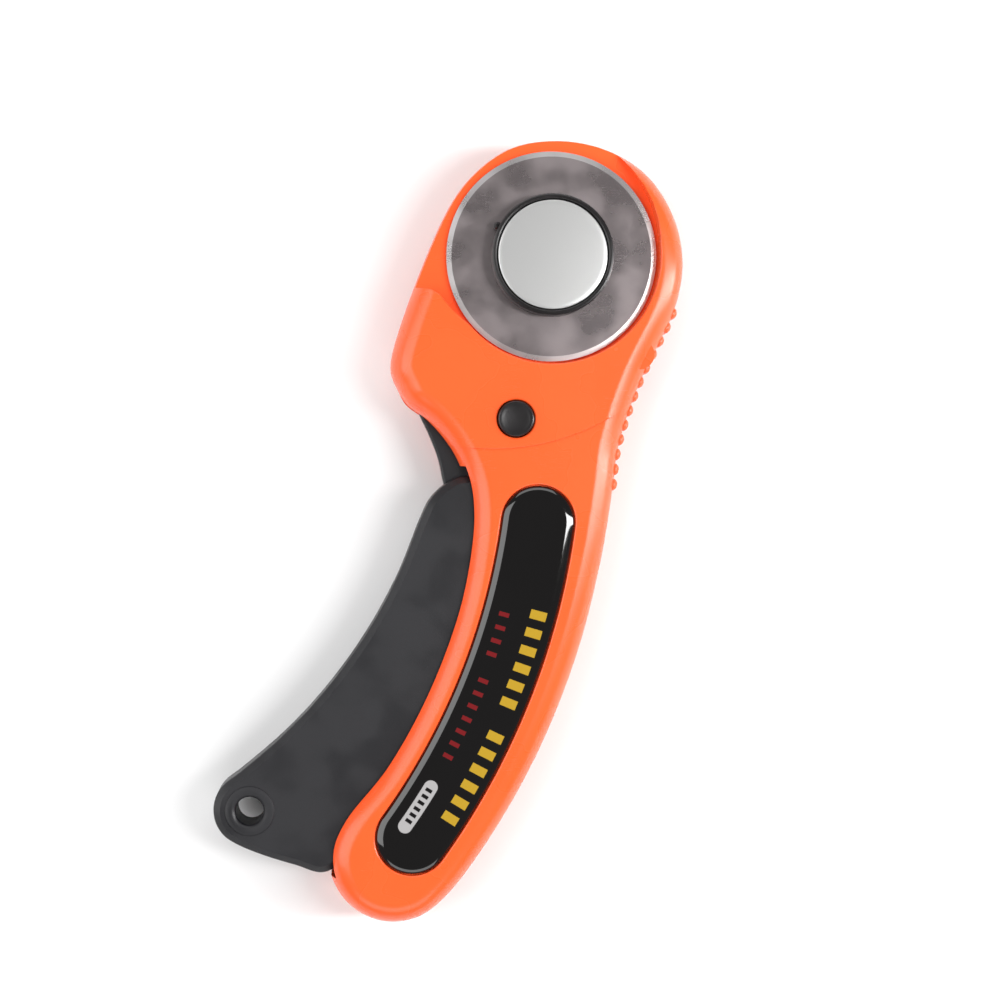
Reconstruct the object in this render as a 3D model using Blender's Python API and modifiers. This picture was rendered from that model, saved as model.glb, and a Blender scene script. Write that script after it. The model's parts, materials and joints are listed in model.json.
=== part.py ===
"""Rotary cutter with a 45 mm blade and a squeeze lever.

The cutter lies on its back: +Z is the side that the blade is on, +Y runs from the handle to the head, and
the origin is where the blade's axis meets the surface that the cutter rests on.
"""

import math

import bmesh
import bpy
from mathutils import Matrix, Vector

MM = 0.001
GAP = 0.3 * MM  # between pieces that meet

# Blade
BLADE_RADIUS = 22.5 * MM
BLADE_THICK = 0.3 * MM
BLADE_BORE = 4.0 * MM
BLADE_BEVEL = 1.1 * MM  # width of the ground edge
BLADE_EDGE = 0.06 * MM  # thickness left at the rim
BLADE_CLEARANCE = 0.6 * MM  # from the blade to the wall of its recess

# Body outline
HEAD_CENTRE = Vector((1.5, -2.0, 0.0)) * MM  # from the blade's axis
HEAD_MARGIN = 4.7 * MM  # width of the head outside the blade
HEAD_RADIUS = BLADE_RADIUS + HEAD_MARGIN
LOBE_ANGLE = 217.7  # direction of the pivot lobe from the head's centre
LOBE_OFFSET = 7.8 * MM  # from the head's circle to the pivot
LOBE_RADIUS = 8.3 * MM
NECK_DROP = 7.8 * MM  # from the head's circle to where the handle's arc starts
HANDLE_SHIFT = -1.0 * MM  # of the handle's arc, to the side of the blade's axis
HANDLE_BEND = 150.0 * MM  # radius of the handle's centre line
HANDLE_LENGTH = 100.0 * MM  # of that line, down to the centre of the round end
HANDLE_HALF = 14.0 * MM
END_SHIFT = 0.9 * MM  # of the round end, to the lever's side

# Levels, from the surface that the cutter rests on
HANDLE_BACK = 0.0 * MM
HANDLE_FRONT = 18.4 * MM
HEAD_BACK = 5.4 * MM
HEAD_FRONT = 18.8 * MM
SEAM = 9.2 * MM  # where the two shells meet
HEAD_WALL = 2.4 * MM
HANDLE_WALL = 2.6 * MM
ARM_THICK = 4.2 * MM
ARM_ROUND = 0.4 * MM
GRIP_PLAY = 0.6 * MM  # between the grip and each wall of its room in the handle
GUARD_THICK = 1.8 * MM
SLIDE_GAP = 0.4 * MM  # between the lever and the shells
ARM_BACK = HEAD_BACK + HEAD_WALL + SLIDE_GAP
ARM_FRONT = ARM_BACK + ARM_THICK
GUARD_BACK = ARM_FRONT + SLIDE_GAP
GUARD_FRONT = GUARD_BACK + GUARD_THICK
BLADE_BACK = GUARD_FRONT + BLADE_CLEARANCE
BLADE_FRONT = BLADE_BACK + BLADE_THICK
GRIP_BACK = HANDLE_BACK + HANDLE_WALL + GRIP_PLAY
GRIP_FRONT = HANDLE_FRONT - HANDLE_WALL - GRIP_PLAY
HEAD_ROUND = 3.0 * MM
HANDLE_ROUND = 4.5 * MM
CAVITY_TOP_EXTRA = 7.0 * MM  # of the head's room, past the step
CAVITY_FIRST = 9.0 * MM  # along the handle, where the mouth of its room starts
CAVITY_PAST_END = 19.0 * MM  # of the mouth, past the handle's end centre

# The arc that divides the raised head from the handle
STEP_CENTRE = Vector((-12.5, 7.6, 0.0)) * MM
STEP_RADIUS = 49.0 * MM
STEP_LAP = 1.5 * MM  # of the handle under the head

# Ribs on the back edge
RIB_COUNT = 13
RIB_RADIUS = 1.2 * MM
RIB_SUNK = 0.4 * MM
RIB_LOW = 7.0 * MM
RIB_HIGH = 14.4 * MM
RIB_FIRST_ANGLE = -22.0  # on the head's circle
RIB_LAST_ALONG = 10.5 * MM  # on the handle

# Lever
SQUEEZE = 10.4  # degrees from rest to fully squeezed
HUB_RADIUS = 5.3 * MM
BOSS_RADIUS = 6.5 * MM
EYE_RADIUS = 8.0 * MM  # of the arm round the boss
GRIP_TOP = 22.0 * MM  # along the handle, where the grip has its full width
GRIP_TOP_REACH = 25.2 * MM  # from the handle's centre line to the grip's outer edge
GRIP_FLARE = 0.15  # widening per length
GRIP_INNER = 7.5 * MM  # from the handle's centre line to the grip's inner edge
GRIP_ROUND = 1.3 * MM
GRIP_BELOW_END = 4.5 * MM  # from the handle's end centre to the grip's lower edge
HOOK_PAST_END = 13.9 * MM
HOOK_REACH = 31.0 * MM
HOOK_LOBE = 7.9 * MM
HOOK_HOLE = 3.0 * MM
HOOK_RING = 5.4 * MM
HOOK_RING_PROUD = 0.3 * MM

# Pivot
PIN_RADIUS = 1.75 * MM
PIN_CLEARANCE = 0.15 * MM
PIN_DEPTH_FRONT = 2.7 * MM  # of the pin in the front shell
PIN_DEPTH_BACK = 1.4 * MM
BUSH_WALL = 0.7 * MM

# Lock
LOCK_DROP = 5.7 * MM  # from the head's circle
LOCK_SHIFT = -7.8 * MM
LOCK_TRAVEL = 2.8 * MM
LOCK_HEAD = 3.85 * MM
LOCK_COLLAR = 2.8 * MM
LOCK_NECK = 1.7 * MM
LOCK_TIP = 1.15 * MM
LOCK_CAP = 3.4 * MM
LOCK_PROUD = 0.8 * MM
LOCK_WEB = 2.2 * MM  # thickness of the lever where the collar engages
LOCK_PLAY = 0.15 * MM
LOCK_BORE_PLAY = 0.2 * MM
LOCK_RING_PROUD = 1.2 * MM
LOCK_RING_WALL = 1.6 * MM
LOCK_CHAMFER = 0.4 * MM
LOCK_DISH = 0.3 * MM
LOCK_CAP_INSIDE = 0.2 * MM  # of the cap's face, inside its ring
LOCK_CAP_FLOOR = 0.8 * MM

# Clamp
KNOB_RADIUS = 13.0 * MM
KNOB_HEIGHT = 4.1 * MM
KNOB_RIM = 1.05 * MM
KNOB_CHAMFER = 0.4 * MM
LABEL_CHAMFER = 0.15 * MM
LABEL_THICK = 0.5 * MM
LABEL_SUNK = 0.2 * MM
HUB_PLAY = 0.05 * MM  # between the knob's hub and the blade
BOLT_RADIUS = 2.5 * MM
BOLT_PLAY = 0.2 * MM
BOLT_HEAD = 5.2 * MM
BOLT_HEAD_THICK = 1.3 * MM
WASHER_RADIUS = 6.0 * MM
WASHER_THICK = 0.6 * MM
NUT_RADIUS = 9.0 * MM
NUT_FLUTE = 0.45 * MM
NUT_FLUTES = 20
NUT_FLOOR = 1.6 * MM
NUT_ROUND = 0.5 * MM
INSERT_RADIUS = 4.5 * MM
INSERT_THICK = 3.0 * MM

# Inlay
INLAY_TOP = 20.0 * MM  # along the handle
INLAY_BELOW = 6.3 * MM  # from the inlay's lower centre to the handle's end centre
INLAY_SHIFT = 0.7 * MM
INLAY_HALF = 7.65 * MM
INLAY_SUNK = 1.5 * MM
INLAY_PROUD = 0.4 * MM
INLAY_ROUND = 0.7 * MM

# Return spring
SPRING_ALONG = 29.0 * MM
SPRING_COIL = 3.6 * MM
SPRING_WIRE = 0.45 * MM
SPRING_TURNS = 7
SPRING_POST = 2.6 * MM
SPRING_POST_LONG = 3.0 * MM

# Screws: along the handle, and to the side of its centre line
SCREW_SHANK = 1.1 * MM
SCREW_HEAD = 2.5 * MM
SCREW_HEAD_THICK = 1.4 * MM
SCREW_LONG = 9.0 * MM
SCREW_CROSS = 3.0 * MM
SCREW_SLOT = 0.6 * MM
SCREW_SLOT_DEEP = 0.9 * MM
SCREW_BOSS = 3.2 * MM
SCREW_SINK = 1.0 * MM
SCREW_UPPER = (12.0 * MM, -8.0 * MM)
SCREW_MIDDLE = (52.0 * MM, -8.0 * MM)
SCREW_END_BELOW = 8.7 * MM
SCREW_END_SHIFT = -3.6 * MM
SCREW_HEAD_ANGLE = -48.5  # of the screw in the head, from the blade's axis
SCREW_HEAD_CLEARANCE = 1.9 * MM  # from the blade's recess to its boss
SCREW_TIP = 1.5 * MM  # length of the tapered tip
SCREW_TIP_END = 0.2 * MM  # length of its blunt end
SCREW_HEAD_CHAMFER = 0.5 * MM
SCREW_HEAD_EDGE = 0.4 * MM

COLLECTION = bpy.data.collections.new("rotary_cutter")
CUTTERS = bpy.data.collections.new("cutters")


# ---------------------------------------------------------------- places


def polar(centre, radius, degrees):
    """The point at this radius and direction from a centre."""
    angle = math.radians(degrees)
    return centre + radius * Vector((math.cos(angle), math.sin(angle), 0.0))


def turned_about(point, centre, degrees):
    """A point turned about a vertical axis through a centre."""
    return centre + Matrix.Rotation(math.radians(degrees), 3, "Z") @ (point - centre)


BLADE_AXIS = Vector((0.0, 0.0, 0.0))
PIVOT = polar(HEAD_CENTRE, HEAD_RADIUS + LOBE_OFFSET, LOBE_ANGLE)
BEND_CENTRE = Vector((HANDLE_SHIFT - HANDLE_BEND, HEAD_CENTRE.y - HEAD_RADIUS - NECK_DROP, 0.0))
LOCK = Vector((LOCK_SHIFT, HEAD_CENTRE.y - HEAD_RADIUS - LOCK_DROP, 0.0))


def along(distance, side=0.0):
    """A point by its distance down the handle and to the lever's side of the handle's centre line."""
    return polar(BEND_CENTRE, HANDLE_BEND - side, -math.degrees(distance / HANDLE_BEND))


HANDLE_END = along(HANDLE_LENGTH)
LEVER_REACH = (HANDLE_END - PIVOT).length + GRIP_BELOW_END
HOOK = along(HANDLE_LENGTH + HOOK_PAST_END, HOOK_REACH)


# ---------------------------------------------------------------- outlines


def arc(centre, radius, first, last, count):
    """Points on an arc, ends included."""
    return [polar(centre, radius, first + (last - first) * i / (count - 1)) for i in range(count)]


def smooth_loop(points, steps=3):
    """A closed centripetal Catmull-Rom curve through the points."""
    found = []
    count = len(points)
    for i in range(count):
        before, start, end, after = (points[(i + j) % count] for j in (-1, 0, 1, 2))
        knots = [0.0]
        for a, b in ((before, start), (start, end), (end, after)):
            knots.append(knots[-1] + math.sqrt((b - a).length))
        for step in range(steps):
            t = knots[1] + (knots[2] - knots[1]) * step / steps
            a1 = before.lerp(start, (t - knots[0]) / (knots[1] - knots[0]))
            a2 = start.lerp(end, (t - knots[1]) / (knots[2] - knots[1]))
            a3 = end.lerp(after, (t - knots[2]) / (knots[3] - knots[2]))
            b1 = a1.lerp(a2, (t - knots[0]) / (knots[2] - knots[0]))
            b2 = a2.lerp(a3, (t - knots[1]) / (knots[3] - knots[1]))
            found.append(b1.lerp(b2, (t - knots[1]) / (knots[2] - knots[1])))
    return found


def body_outline():
    """The outline that both shells share: head, neck, handle with a round end, and pivot lobe."""
    right_stations = (100.0, 84.0, 64.0, 44.0, 26.0, 17.0, 10.0, 4.0)
    left_stations = (5.0, 12.7, 20.0, 28.0, 43.0, 64.0, 84.0, 100.0)
    right_flare = (-0.8, -0.3, -0.1, 0.1, 0.4, 0.7, 1.1, 1.6)
    left_flare = (6.2, 2.8, 1.3, 0.6, 0.0, 0.0, 0.2, 1.0)
    head_flare = (-0.3, -0.1, 0.1, 0.4, 0.1, 0.0, 0.3, -0.3, -0.5)
    scale = HANDLE_LENGTH / right_stations[0]
    end_turn = math.degrees(HANDLE_LENGTH / HANDLE_BEND)
    points = [along(s * scale, -HANDLE_HALF - extra * MM) for s, extra in zip(right_stations, right_flare)]
    points.append(polar(HEAD_CENTRE, HEAD_RADIUS + 3.6 * MM, -55.0))
    for i, extra in enumerate(head_flare):
        points.append(polar(HEAD_CENTRE, HEAD_RADIUS + extra * MM, -18.0 + 173.0 * i / 8))
    points += arc(PIVOT, LOBE_RADIUS, 170.0, 220.0, 3)
    points.append(polar(PIVOT, LOBE_RADIUS + 1.3 * MM, 238.0))
    points.append(along(-2.9 * MM, HANDLE_HALF + 11.9 * MM))
    points += [along(s * scale, HANDLE_HALF + extra * MM) for s, extra in zip(left_stations, left_flare)]
    points += arc(along(HANDLE_LENGTH, END_SHIFT), HANDLE_HALF, 210.0 - end_turn, 330.0 - end_turn, 5)
    return smooth_loop(points)


def arc_slot(pivot, start, sweep, half, steps=14):
    """The outline of a round-ended slot that follows an arc about a pivot."""
    radius = (start - pivot).length
    first = math.degrees(math.atan2(start.y - pivot.y, start.x - pivot.x))
    if sweep < 0:
        first, sweep = first + sweep, -sweep
    last = first + sweep
    loop = arc(pivot, radius + half, first, last, 5)[1:-1]
    loop += arc(polar(pivot, radius, last), half, last, last + 180.0, steps)
    loop += arc(pivot, radius - half, last, first, 5)[1:-1]
    loop += arc(polar(pivot, radius, first), half, first + 180.0, first + 360.0, steps)
    return loop


def inlay_outline(extra=0.0):
    """The curved stadium of the inlay, or of its recess with extra room round it."""
    half = INLAY_HALF + extra
    end = HANDLE_LENGTH - INLAY_BELOW
    side = [INLAY_TOP + (end - INLAY_TOP) * i / 8 for i in range(1, 8)]
    turn_top = -math.degrees(INLAY_TOP / HANDLE_BEND)
    turn_end = -math.degrees(end / HANDLE_BEND)
    loop = arc(along(INLAY_TOP, INLAY_SHIFT), half, turn_top, turn_top + 180.0, 13)
    loop += [along(s, INLAY_SHIFT + half) for s in side]
    loop += arc(along(end, INLAY_SHIFT), half, turn_end + 180.0, turn_end + 360.0, 13)
    loop += [along(s, INLAY_SHIFT - half) for s in reversed(side)]
    return loop


def guard_zone():
    """The part of the head, beside the blade, where the front shell is only a thin guard behind it."""
    rim = ((0.0, 0.5), (10.0, 0.85), (19.0, 1.25), (28.0, 1.7), (37.0, 2.1), (47.0, 2.6), (57.0, 3.6))
    rim += ((60.0, 12.0), (100.0, 15.0), (140.0, 15.0), (180.0, 15.0))
    rim += ((191.0, 9.5), (196.0, 4.3), (203.5, 1.4))
    points = [polar(BLADE_AXIS, BLADE_RADIUS + extra * MM, angle) for angle, extra in rim]
    return points + [BLADE_AXIS.copy()]


def arm_outline():
    """The lever's thin arm, from the blade's axis past the pivot and the lock to the grip."""
    points = arc(PIVOT, HUB_RADIUS, 128.0, 205.0, 4)
    points += [polar(PIVOT, HUB_RADIUS + 0.3 * MM, 225.0), polar(PIVOT, HUB_RADIUS + 1.7 * MM, 243.0)]
    points += [polar(PIVOT, HUB_RADIUS + 4.6 * MM, 257.0)]
    outer = ((1.5, 25.0), (7.5, 22.9), (14.0, 21.2), (20.0, 18.0))
    inner = ((20.0, 6.0), (12.0, 0.0))
    points += [along(s * MM, side * MM) for s, side in outer + inner]
    points += [LOCK + Vector((8.0, -5.0, 0.0)) * MM, LOCK + Vector((8.4, 3.0, 0.0)) * MM]
    points += [LOCK + Vector((8.2, 13.0, 0.0)) * MM]
    points += arc(BLADE_AXIS, EYE_RADIUS, -60.0, 128.0, 7)
    return smooth_loop(points, 3)


def grip_outline():
    """The lever's thick grip, with the hook lobe at its lower end."""
    end = HANDLE_LENGTH
    outer = [GRIP_TOP + (end + 8.0 * MM - GRIP_TOP) * i / 5 for i in range(6)]
    inner = [end - 7.0 * MM - (end - 23.0 * MM) * i / 5 for i in range(6)]
    points = [along(13.4 * MM, 20.8 * MM), along(17.6 * MM, 23.9 * MM)]
    points += [along(s, GRIP_TOP_REACH + GRIP_FLARE * (s - GRIP_TOP)) for s in outer]
    points += arc(HOOK, HOOK_LOBE, 140.0, 250.0, 5)
    points += arc(PIVOT, LEVER_REACH, 251.5, 258.5, 3)
    points += [along(end - 1.0 * MM, GRIP_INNER + 0.8 * MM)]
    points += [along(s, GRIP_INNER) for s in inner]
    points += [along(12.6 * MM, GRIP_INNER + 1.2 * MM), along(11.4 * MM, 17.4 * MM)]
    return smooth_loop(points, 3)


# ---------------------------------------------------------------- building blocks


def add(name, mesh):
    """A new object in the cutter's collection."""
    item = bpy.data.objects.new(name, mesh)
    COLLECTION.objects.link(item)
    return item


def as_tool(item):
    """Moves an object to the cutters, where it only shapes others."""
    COLLECTION.objects.unlink(item)
    CUTTERS.objects.link(item)
    item.hide_render = True
    item.display_type = "WIRE"
    return item


def as_mesh(curve_object):
    """The curve's shape as a mesh object of the same name, its caps welded to its sides."""
    bpy.context.view_layer.update()
    evaluated = curve_object.evaluated_get(bpy.context.evaluated_depsgraph_get())
    mesh = bpy.data.meshes.new_from_object(evaluated)
    name, place = curve_object.name, curve_object.matrix_world.copy()
    bpy.data.objects.remove(curve_object)
    work = bmesh.new()
    work.from_mesh(mesh)
    bmesh.ops.remove_doubles(work, verts=work.verts, dist=0.00001)
    bmesh.ops.recalc_face_normals(work, faces=work.faces)
    work.to_mesh(mesh)
    work.free()
    item = add(name, mesh)
    item.matrix_world = place
    return item


def plate(name, loop, low, high, rounding=0.0, inset=0.0, steps=2):
    """A flat outline raised from one level to another, with rounded edges, and drawn in by the inset."""
    curve = bpy.data.curves.new(name, "CURVE")
    curve.dimensions = "2D"
    curve.fill_mode = "BOTH"
    curve.extrude = (high - low) / 2 - rounding
    curve.bevel_depth = rounding
    curve.bevel_resolution = steps - 1
    curve.offset = -(rounding + inset)
    spline = curve.splines.new("POLY")
    spline.points.add(len(loop) - 1)
    for point, place in zip(spline.points, loop):
        point.co = (place.x, place.y, 0.0, 1.0)
    spline.use_cyclic_u = True
    item = add(name, curve)
    item.location.z = (low + high) / 2
    return as_mesh(item)


def rod(name, centre, radius, low, high, sides=32, turn=0.0):
    """An upright cylinder, or a prism when it has few sides."""
    work = bmesh.new()
    bmesh.ops.create_cone(
        work, cap_ends=True, segments=sides, radius1=radius, radius2=radius, depth=high - low
    )
    mesh = bpy.data.meshes.new(name)
    work.to_mesh(mesh)
    work.free()
    item = add(name, mesh)
    item.location = (centre.x, centre.y, (low + high) / 2)
    item.rotation_euler.z = math.radians(turn)
    return item


def bar(name, centre, size, low, high):
    """An upright rectangular block."""
    work = bmesh.new()
    bmesh.ops.create_cube(work, size=1.0)
    bmesh.ops.scale(work, vec=(*size, high - low), verts=work.verts)
    mesh = bpy.data.meshes.new(name)
    work.to_mesh(mesh)
    work.free()
    item = add(name, mesh)
    item.location = (centre.x, centre.y, (low + high) / 2)
    return item


def turned(name, centre, profile, sides=48):
    """A round piece from its profile of (radius, level) pairs, which runs down the outer side."""
    mesh = bpy.data.meshes.new(name)
    points = [(radius, 0.0, level) for radius, level in profile]
    hollow = profile[0][0] > 0
    edges = [(i, i + 1) for i in range(len(points) - 1)]
    if hollow:
        edges.append((len(points) - 1, 0))
    mesh.from_pydata(points, edges, [])
    item = add(name, mesh)
    item.location = (centre.x, centre.y, 0.0)
    screw = item.modifiers.new("turn", "SCREW")
    screw.steps = screw.render_steps = sides
    screw.use_merge_vertices = True
    screw.merge_threshold = 0.00001
    screw.use_smooth_shade = True
    return item


def combine(item, operation, tool):
    """A Boolean of the object with another one, which becomes a tool."""
    if tool.name not in CUTTERS.objects:
        as_tool(tool)
    modifier = item.modifiers.new(f"{operation.lower()} {tool.name}", "BOOLEAN")
    modifier.operation = operation
    modifier.object = tool
    modifier.solver = "EXACT"
    return item


def cut(item, *tools):
    """Cuts each tool out of the object."""
    for tool in tools:
        combine(item, "DIFFERENCE", tool)
    return item


def join(item, *tools):
    """Joins each tool to the object."""
    for tool in tools:
        combine(item, "UNION", tool)
    return item


def finish(item, name, colour, roughness, metallic=0.0, sharp=35.0):
    """Gives the piece its material, and shades its round faces smooth."""
    material = bpy.data.materials.new(name)
    material.use_nodes = True
    shader = material.node_tree.nodes["Principled BSDF"]
    shader.inputs["Base Color"].default_value = (*colour, 1.0)
    shader.inputs["Roughness"].default_value = roughness
    shader.inputs["Metallic"].default_value = metallic
    item.data.materials.clear()
    item.data.materials.append(material)
    item.data.shade_smooth()
    item.data.set_sharp_from_angle(angle=math.radians(sharp))
    return item


def axis_empty(name, place, parent=None):
    """An empty on a joint's axis."""
    empty = bpy.data.objects.new(name, None)
    empty.empty_display_size = 0.01
    COLLECTION.objects.link(empty)
    empty.location = place
    if parent is not None:
        empty.parent = parent
        empty.matrix_parent_inverse = Matrix.Translation(parent.location).inverted()
    return empty


def hang(empty, *items):
    """Parents the pieces to the empty on their joint's axis, without moving them."""
    bpy.context.view_layer.update()
    for item in items:
        item.parent = empty
        item.matrix_parent_inverse = empty.matrix_world.inverted()


# ---------------------------------------------------------------- shells


def handle_cavity():
    """The room for the grip in the handle, open on the lever's side and closed by an arc at its end."""
    outside_head = STEP_RADIUS - STEP_LAP + HEAD_WALL
    low = HANDLE_BACK + HANDLE_WALL
    high = HANDLE_FRONT - HANDLE_WALL
    room = plate("handle_cavity", body_outline(), low, high, inset=HANDLE_WALL)
    cut(room, rod("cavity_top", STEP_CENTRE, outside_head, low - GAP, high + GAP, 96))
    mouth_length = HANDLE_LENGTH + CAVITY_PAST_END - CAVITY_FIRST
    stations = [CAVITY_FIRST + mouth_length * i / 11 for i in range(12)]
    mouth = [along(s, 1.0 * MM) for s in reversed(stations)] + [along(s, 60.0 * MM) for s in stations[::2]]
    join(room, plate("cavity_mouth", list(reversed(mouth)), low + 0.01 * MM, high - 0.01 * MM))
    sweep = rod("cavity_end", PIVOT, LEVER_REACH + 2 * GAP, low - GAP, high + GAP, 160)
    return combine(room, "INTERSECT", sweep)


def head_cavity():
    """The flat room for the lever's arm inside the head and the lobe, open below the lobe."""
    low = HEAD_BACK + HEAD_WALL
    room = plate("head_cavity", body_outline(), low, GUARD_BACK, inset=HEAD_WALL)
    reach = STEP_RADIUS + CAVITY_TOP_EXTRA
    limit = rod("head_cavity_end", STEP_CENTRE, reach, low - GAP, GUARD_BACK + GAP, 96)
    combine(room, "INTERSECT", limit)
    mouth = [PIVOT.copy(), polar(PIVOT, 50.0 * MM, 228.0)]
    mouth += [along(30.0 * MM, 20.0 * MM), along(10.0 * MM, 2.0 * MM)]
    return join(room, plate("head_cavity_mouth", mouth, low + 0.01 * MM, GUARD_BACK - 0.01 * MM))


def body_blank(name):
    """The solid shape of both shells together: the handle, with the raised head lapped over its top."""
    handle = plate(name + "_handle", body_outline(), HANDLE_BACK, HANDLE_FRONT, HANDLE_ROUND)
    lap = STEP_RADIUS - STEP_LAP
    cut(handle, rod(name + "_handle_top", STEP_CENTRE, lap, HANDLE_BACK - GAP, HEAD_FRONT + GAP, 128))
    head = plate(name, body_outline(), HEAD_BACK, HEAD_FRONT, HEAD_ROUND)
    limit = rod(name + "_head_end", STEP_CENTRE, STEP_RADIUS, HANDLE_BACK - GAP, HEAD_FRONT + GAP, 128)
    combine(head, "INTERSECT", limit)
    return join(head, handle)


def ribs(name, low, high):
    """Small upright ribs along the back edge, from the head down the neck, all in one object."""
    loop = body_outline()
    first = polar(HEAD_CENTRE, HEAD_RADIUS, RIB_FIRST_ANGLE)
    last = along(RIB_LAST_ALONG, -HANDLE_HALF)
    start = min(range(len(loop)), key=lambda i: (loop[i] - last).length)
    stop = min(range(len(loop)), key=lambda i: (loop[i] - first).length)
    path = loop[start : stop + 1]
    lengths = [0.0]
    for a, b in zip(path, path[1:]):
        lengths.append(lengths[-1] + (b - a).length)
    work = bmesh.new()
    for i in range(RIB_COUNT):
        reach = lengths[-1] * i / (RIB_COUNT - 1)
        j = max(k for k in range(len(path) - 1) if lengths[k] <= reach + 1e-9)
        step = path[j + 1] - path[j]
        inward = Vector((-step.y, step.x, 0.0)).normalized()
        place = path[j] + step * ((reach - lengths[j]) / step.length) + inward * RIB_SUNK
        centre = Matrix.Translation((place.x, place.y, (low + high) / 2))
        size = {"radius1": RIB_RADIUS, "radius2": RIB_RADIUS, "depth": high - low}
        bmesh.ops.create_cone(work, cap_ends=True, segments=12, matrix=centre, **size)
    mesh = bpy.data.meshes.new(name)
    work.to_mesh(mesh)
    work.free()
    return add(name, mesh)


def screw_places():
    """Each shell screw's name, place, and the level of the shell's back there."""
    reach = BLADE_RADIUS + BLADE_CLEARANCE + SCREW_HEAD_CLEARANCE + SCREW_BOSS
    head = polar(BLADE_AXIS, reach, SCREW_HEAD_ANGLE)
    end = along(HANDLE_LENGTH + SCREW_END_BELOW, SCREW_END_SHIFT)
    return [
        ("shell_screw_head", head, HEAD_BACK),
        ("shell_screw_upper", along(*SCREW_UPPER), HANDLE_BACK),
        ("shell_screw_middle", along(*SCREW_MIDDLE), HANDLE_BACK),
        ("shell_screw_end", end, HANDLE_BACK),
    ]


def spring_line():
    """Where the return spring starts on the lever, the way that it points, and its length."""
    start = along(SPRING_ALONG, GRIP_INNER - GAP)
    end = along(SPRING_ALONG, -(HANDLE_HALF - HANDLE_WALL) + GAP)
    return start, (end - start).normalized(), (end - start).length


def spring_post(name, start, reach):
    """A round post on the spring's line, from a distance along it to another."""
    origin, way, _ = spring_line()
    work = bmesh.new()
    bmesh.ops.create_cone(
        work, cap_ends=True, segments=16, radius1=SPRING_POST, radius2=SPRING_POST, depth=reach - start
    )
    mesh = bpy.data.meshes.new(name)
    work.to_mesh(mesh)
    work.free()
    item = add(name, mesh)
    item.location = origin + way * (start + reach) / 2 + Vector((0.0, 0.0, SEAM))
    item.rotation_mode = "QUATERNION"
    item.rotation_quaternion = way.to_track_quat("Z", "Y")
    return item


def build_shell(name, low, high, boss_low, boss_high):
    """One shell: the blank between two levels, hollowed, with its bosses, post and ribs."""
    item = body_blank(name)
    cut(item, handle_cavity(), head_cavity())
    for screw, place, back in screw_places():
        if screw == "shell_screw_end":
            continue
        wall = HEAD_WALL if back == HEAD_BACK else HANDLE_WALL
        bottom = max(boss_low, back + wall / 2)
        join(item, rod(f"{name}_boss_{screw}", place, SCREW_BOSS, bottom, boss_high, 24))
    length = spring_line()[2]
    join(item, spring_post(name + "_post", length - SPRING_POST_LONG, length + 4 * GAP))
    join(item, ribs(name + "_ribs", RIB_LOW, RIB_HIGH))
    keep = rod(name + "_levels", HEAD_CENTRE, 3 * (HANDLE_LENGTH + HEAD_RADIUS), low, high, 8)
    return combine(item, "INTERSECT", keep)


def make_front_shell():
    """The front half, with the blade's recess, the guard, the inlay's recess and the button's bore."""
    low = SEAM + GAP / 2
    item = build_shell("front_shell", low, HEAD_FRONT + GAP, low - GAP, HANDLE_FRONT - HANDLE_WALL / 2)
    recess = arc_slot(PIVOT, BLADE_AXIS, SQUEEZE, BLADE_RADIUS + BLADE_CLEARANCE, 36)
    top = HEAD_FRONT + 2 * GAP
    cut(item, plate("blade_recess", recess, GUARD_FRONT, top))
    cut(item, plate("guard_zone", guard_zone(), GUARD_FRONT + 0.002 * MM, top))
    window = arc_slot(PIVOT, BLADE_AXIS, SQUEEZE, BOSS_RADIUS + 2 * SLIDE_GAP)
    cut(item, plate("guard_window", window, ARM_FRONT, BLADE_BACK))
    cut(item, plate("inlay_recess", inlay_outline(GAP), HANDLE_FRONT - INLAY_SUNK, top))
    cut(item, rod("lock_bore_front", LOCK, LOCK_HEAD + LOCK_BORE_PLAY, ARM_FRONT, top, 32))
    pin_room = PIN_RADIUS + PIN_CLEARANCE
    cut(item, rod("pin_hole_front", PIVOT, pin_room, ARM_FRONT, GUARD_BACK + PIN_DEPTH_FRONT, 24))
    for screw, place, back in screw_places():
        tip = back + SCREW_SINK + SCREW_LONG + 2 * GAP
        cut(item, rod("pilot_" + screw, place, SCREW_SHANK + PIN_CLEARANCE, SEAM - GAP, tip, 16))
    return finish(item, "orange_front", (0.90, 0.17, 0.02), 0.32)


def make_rear_shell():
    """The rear half, with the opening for the clamp, the button's ring and the screws' counterbores."""
    high = SEAM - GAP / 2
    item = build_shell("rear_shell", HANDLE_BACK - GAP, high, HANDLE_BACK, high + GAP)
    ring = LOCK_CAP + LOCK_BORE_PLAY + LOCK_RING_WALL
    join(item, rod("lock_ring", LOCK, ring, HEAD_BACK - LOCK_RING_PROUD, HEAD_BACK + HEAD_WALL / 2, 32))
    window = arc_slot(PIVOT, BLADE_AXIS, SQUEEZE, BOSS_RADIUS + 2 * SLIDE_GAP)
    cut(item, plate("rear_window", window, HEAD_BACK - GAP, ARM_BACK))
    cut(item, rod("lock_bore_rear", LOCK, LOCK_CAP + LOCK_BORE_PLAY, HANDLE_BACK, ARM_BACK, 32))
    pin_low = ARM_BACK - SLIDE_GAP - PIN_DEPTH_BACK
    cut(item, rod("pin_hole_rear", PIVOT, PIN_RADIUS + PIN_CLEARANCE, pin_low, ARM_BACK, 24))
    for screw, place, back in screw_places():
        sink = back + SCREW_SINK + SCREW_HEAD_THICK + GAP
        cut(item, rod("shank_" + screw, place, SCREW_SHANK + PIN_CLEARANCE, back - GAP, SEAM + GAP, 16))
        cut(item, rod("sink_" + screw, place, SCREW_HEAD + GAP, back - 2 * GAP, sink, 24))
    return finish(item, "orange_rear", (0.90, 0.17, 0.02), 0.34)


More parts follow.
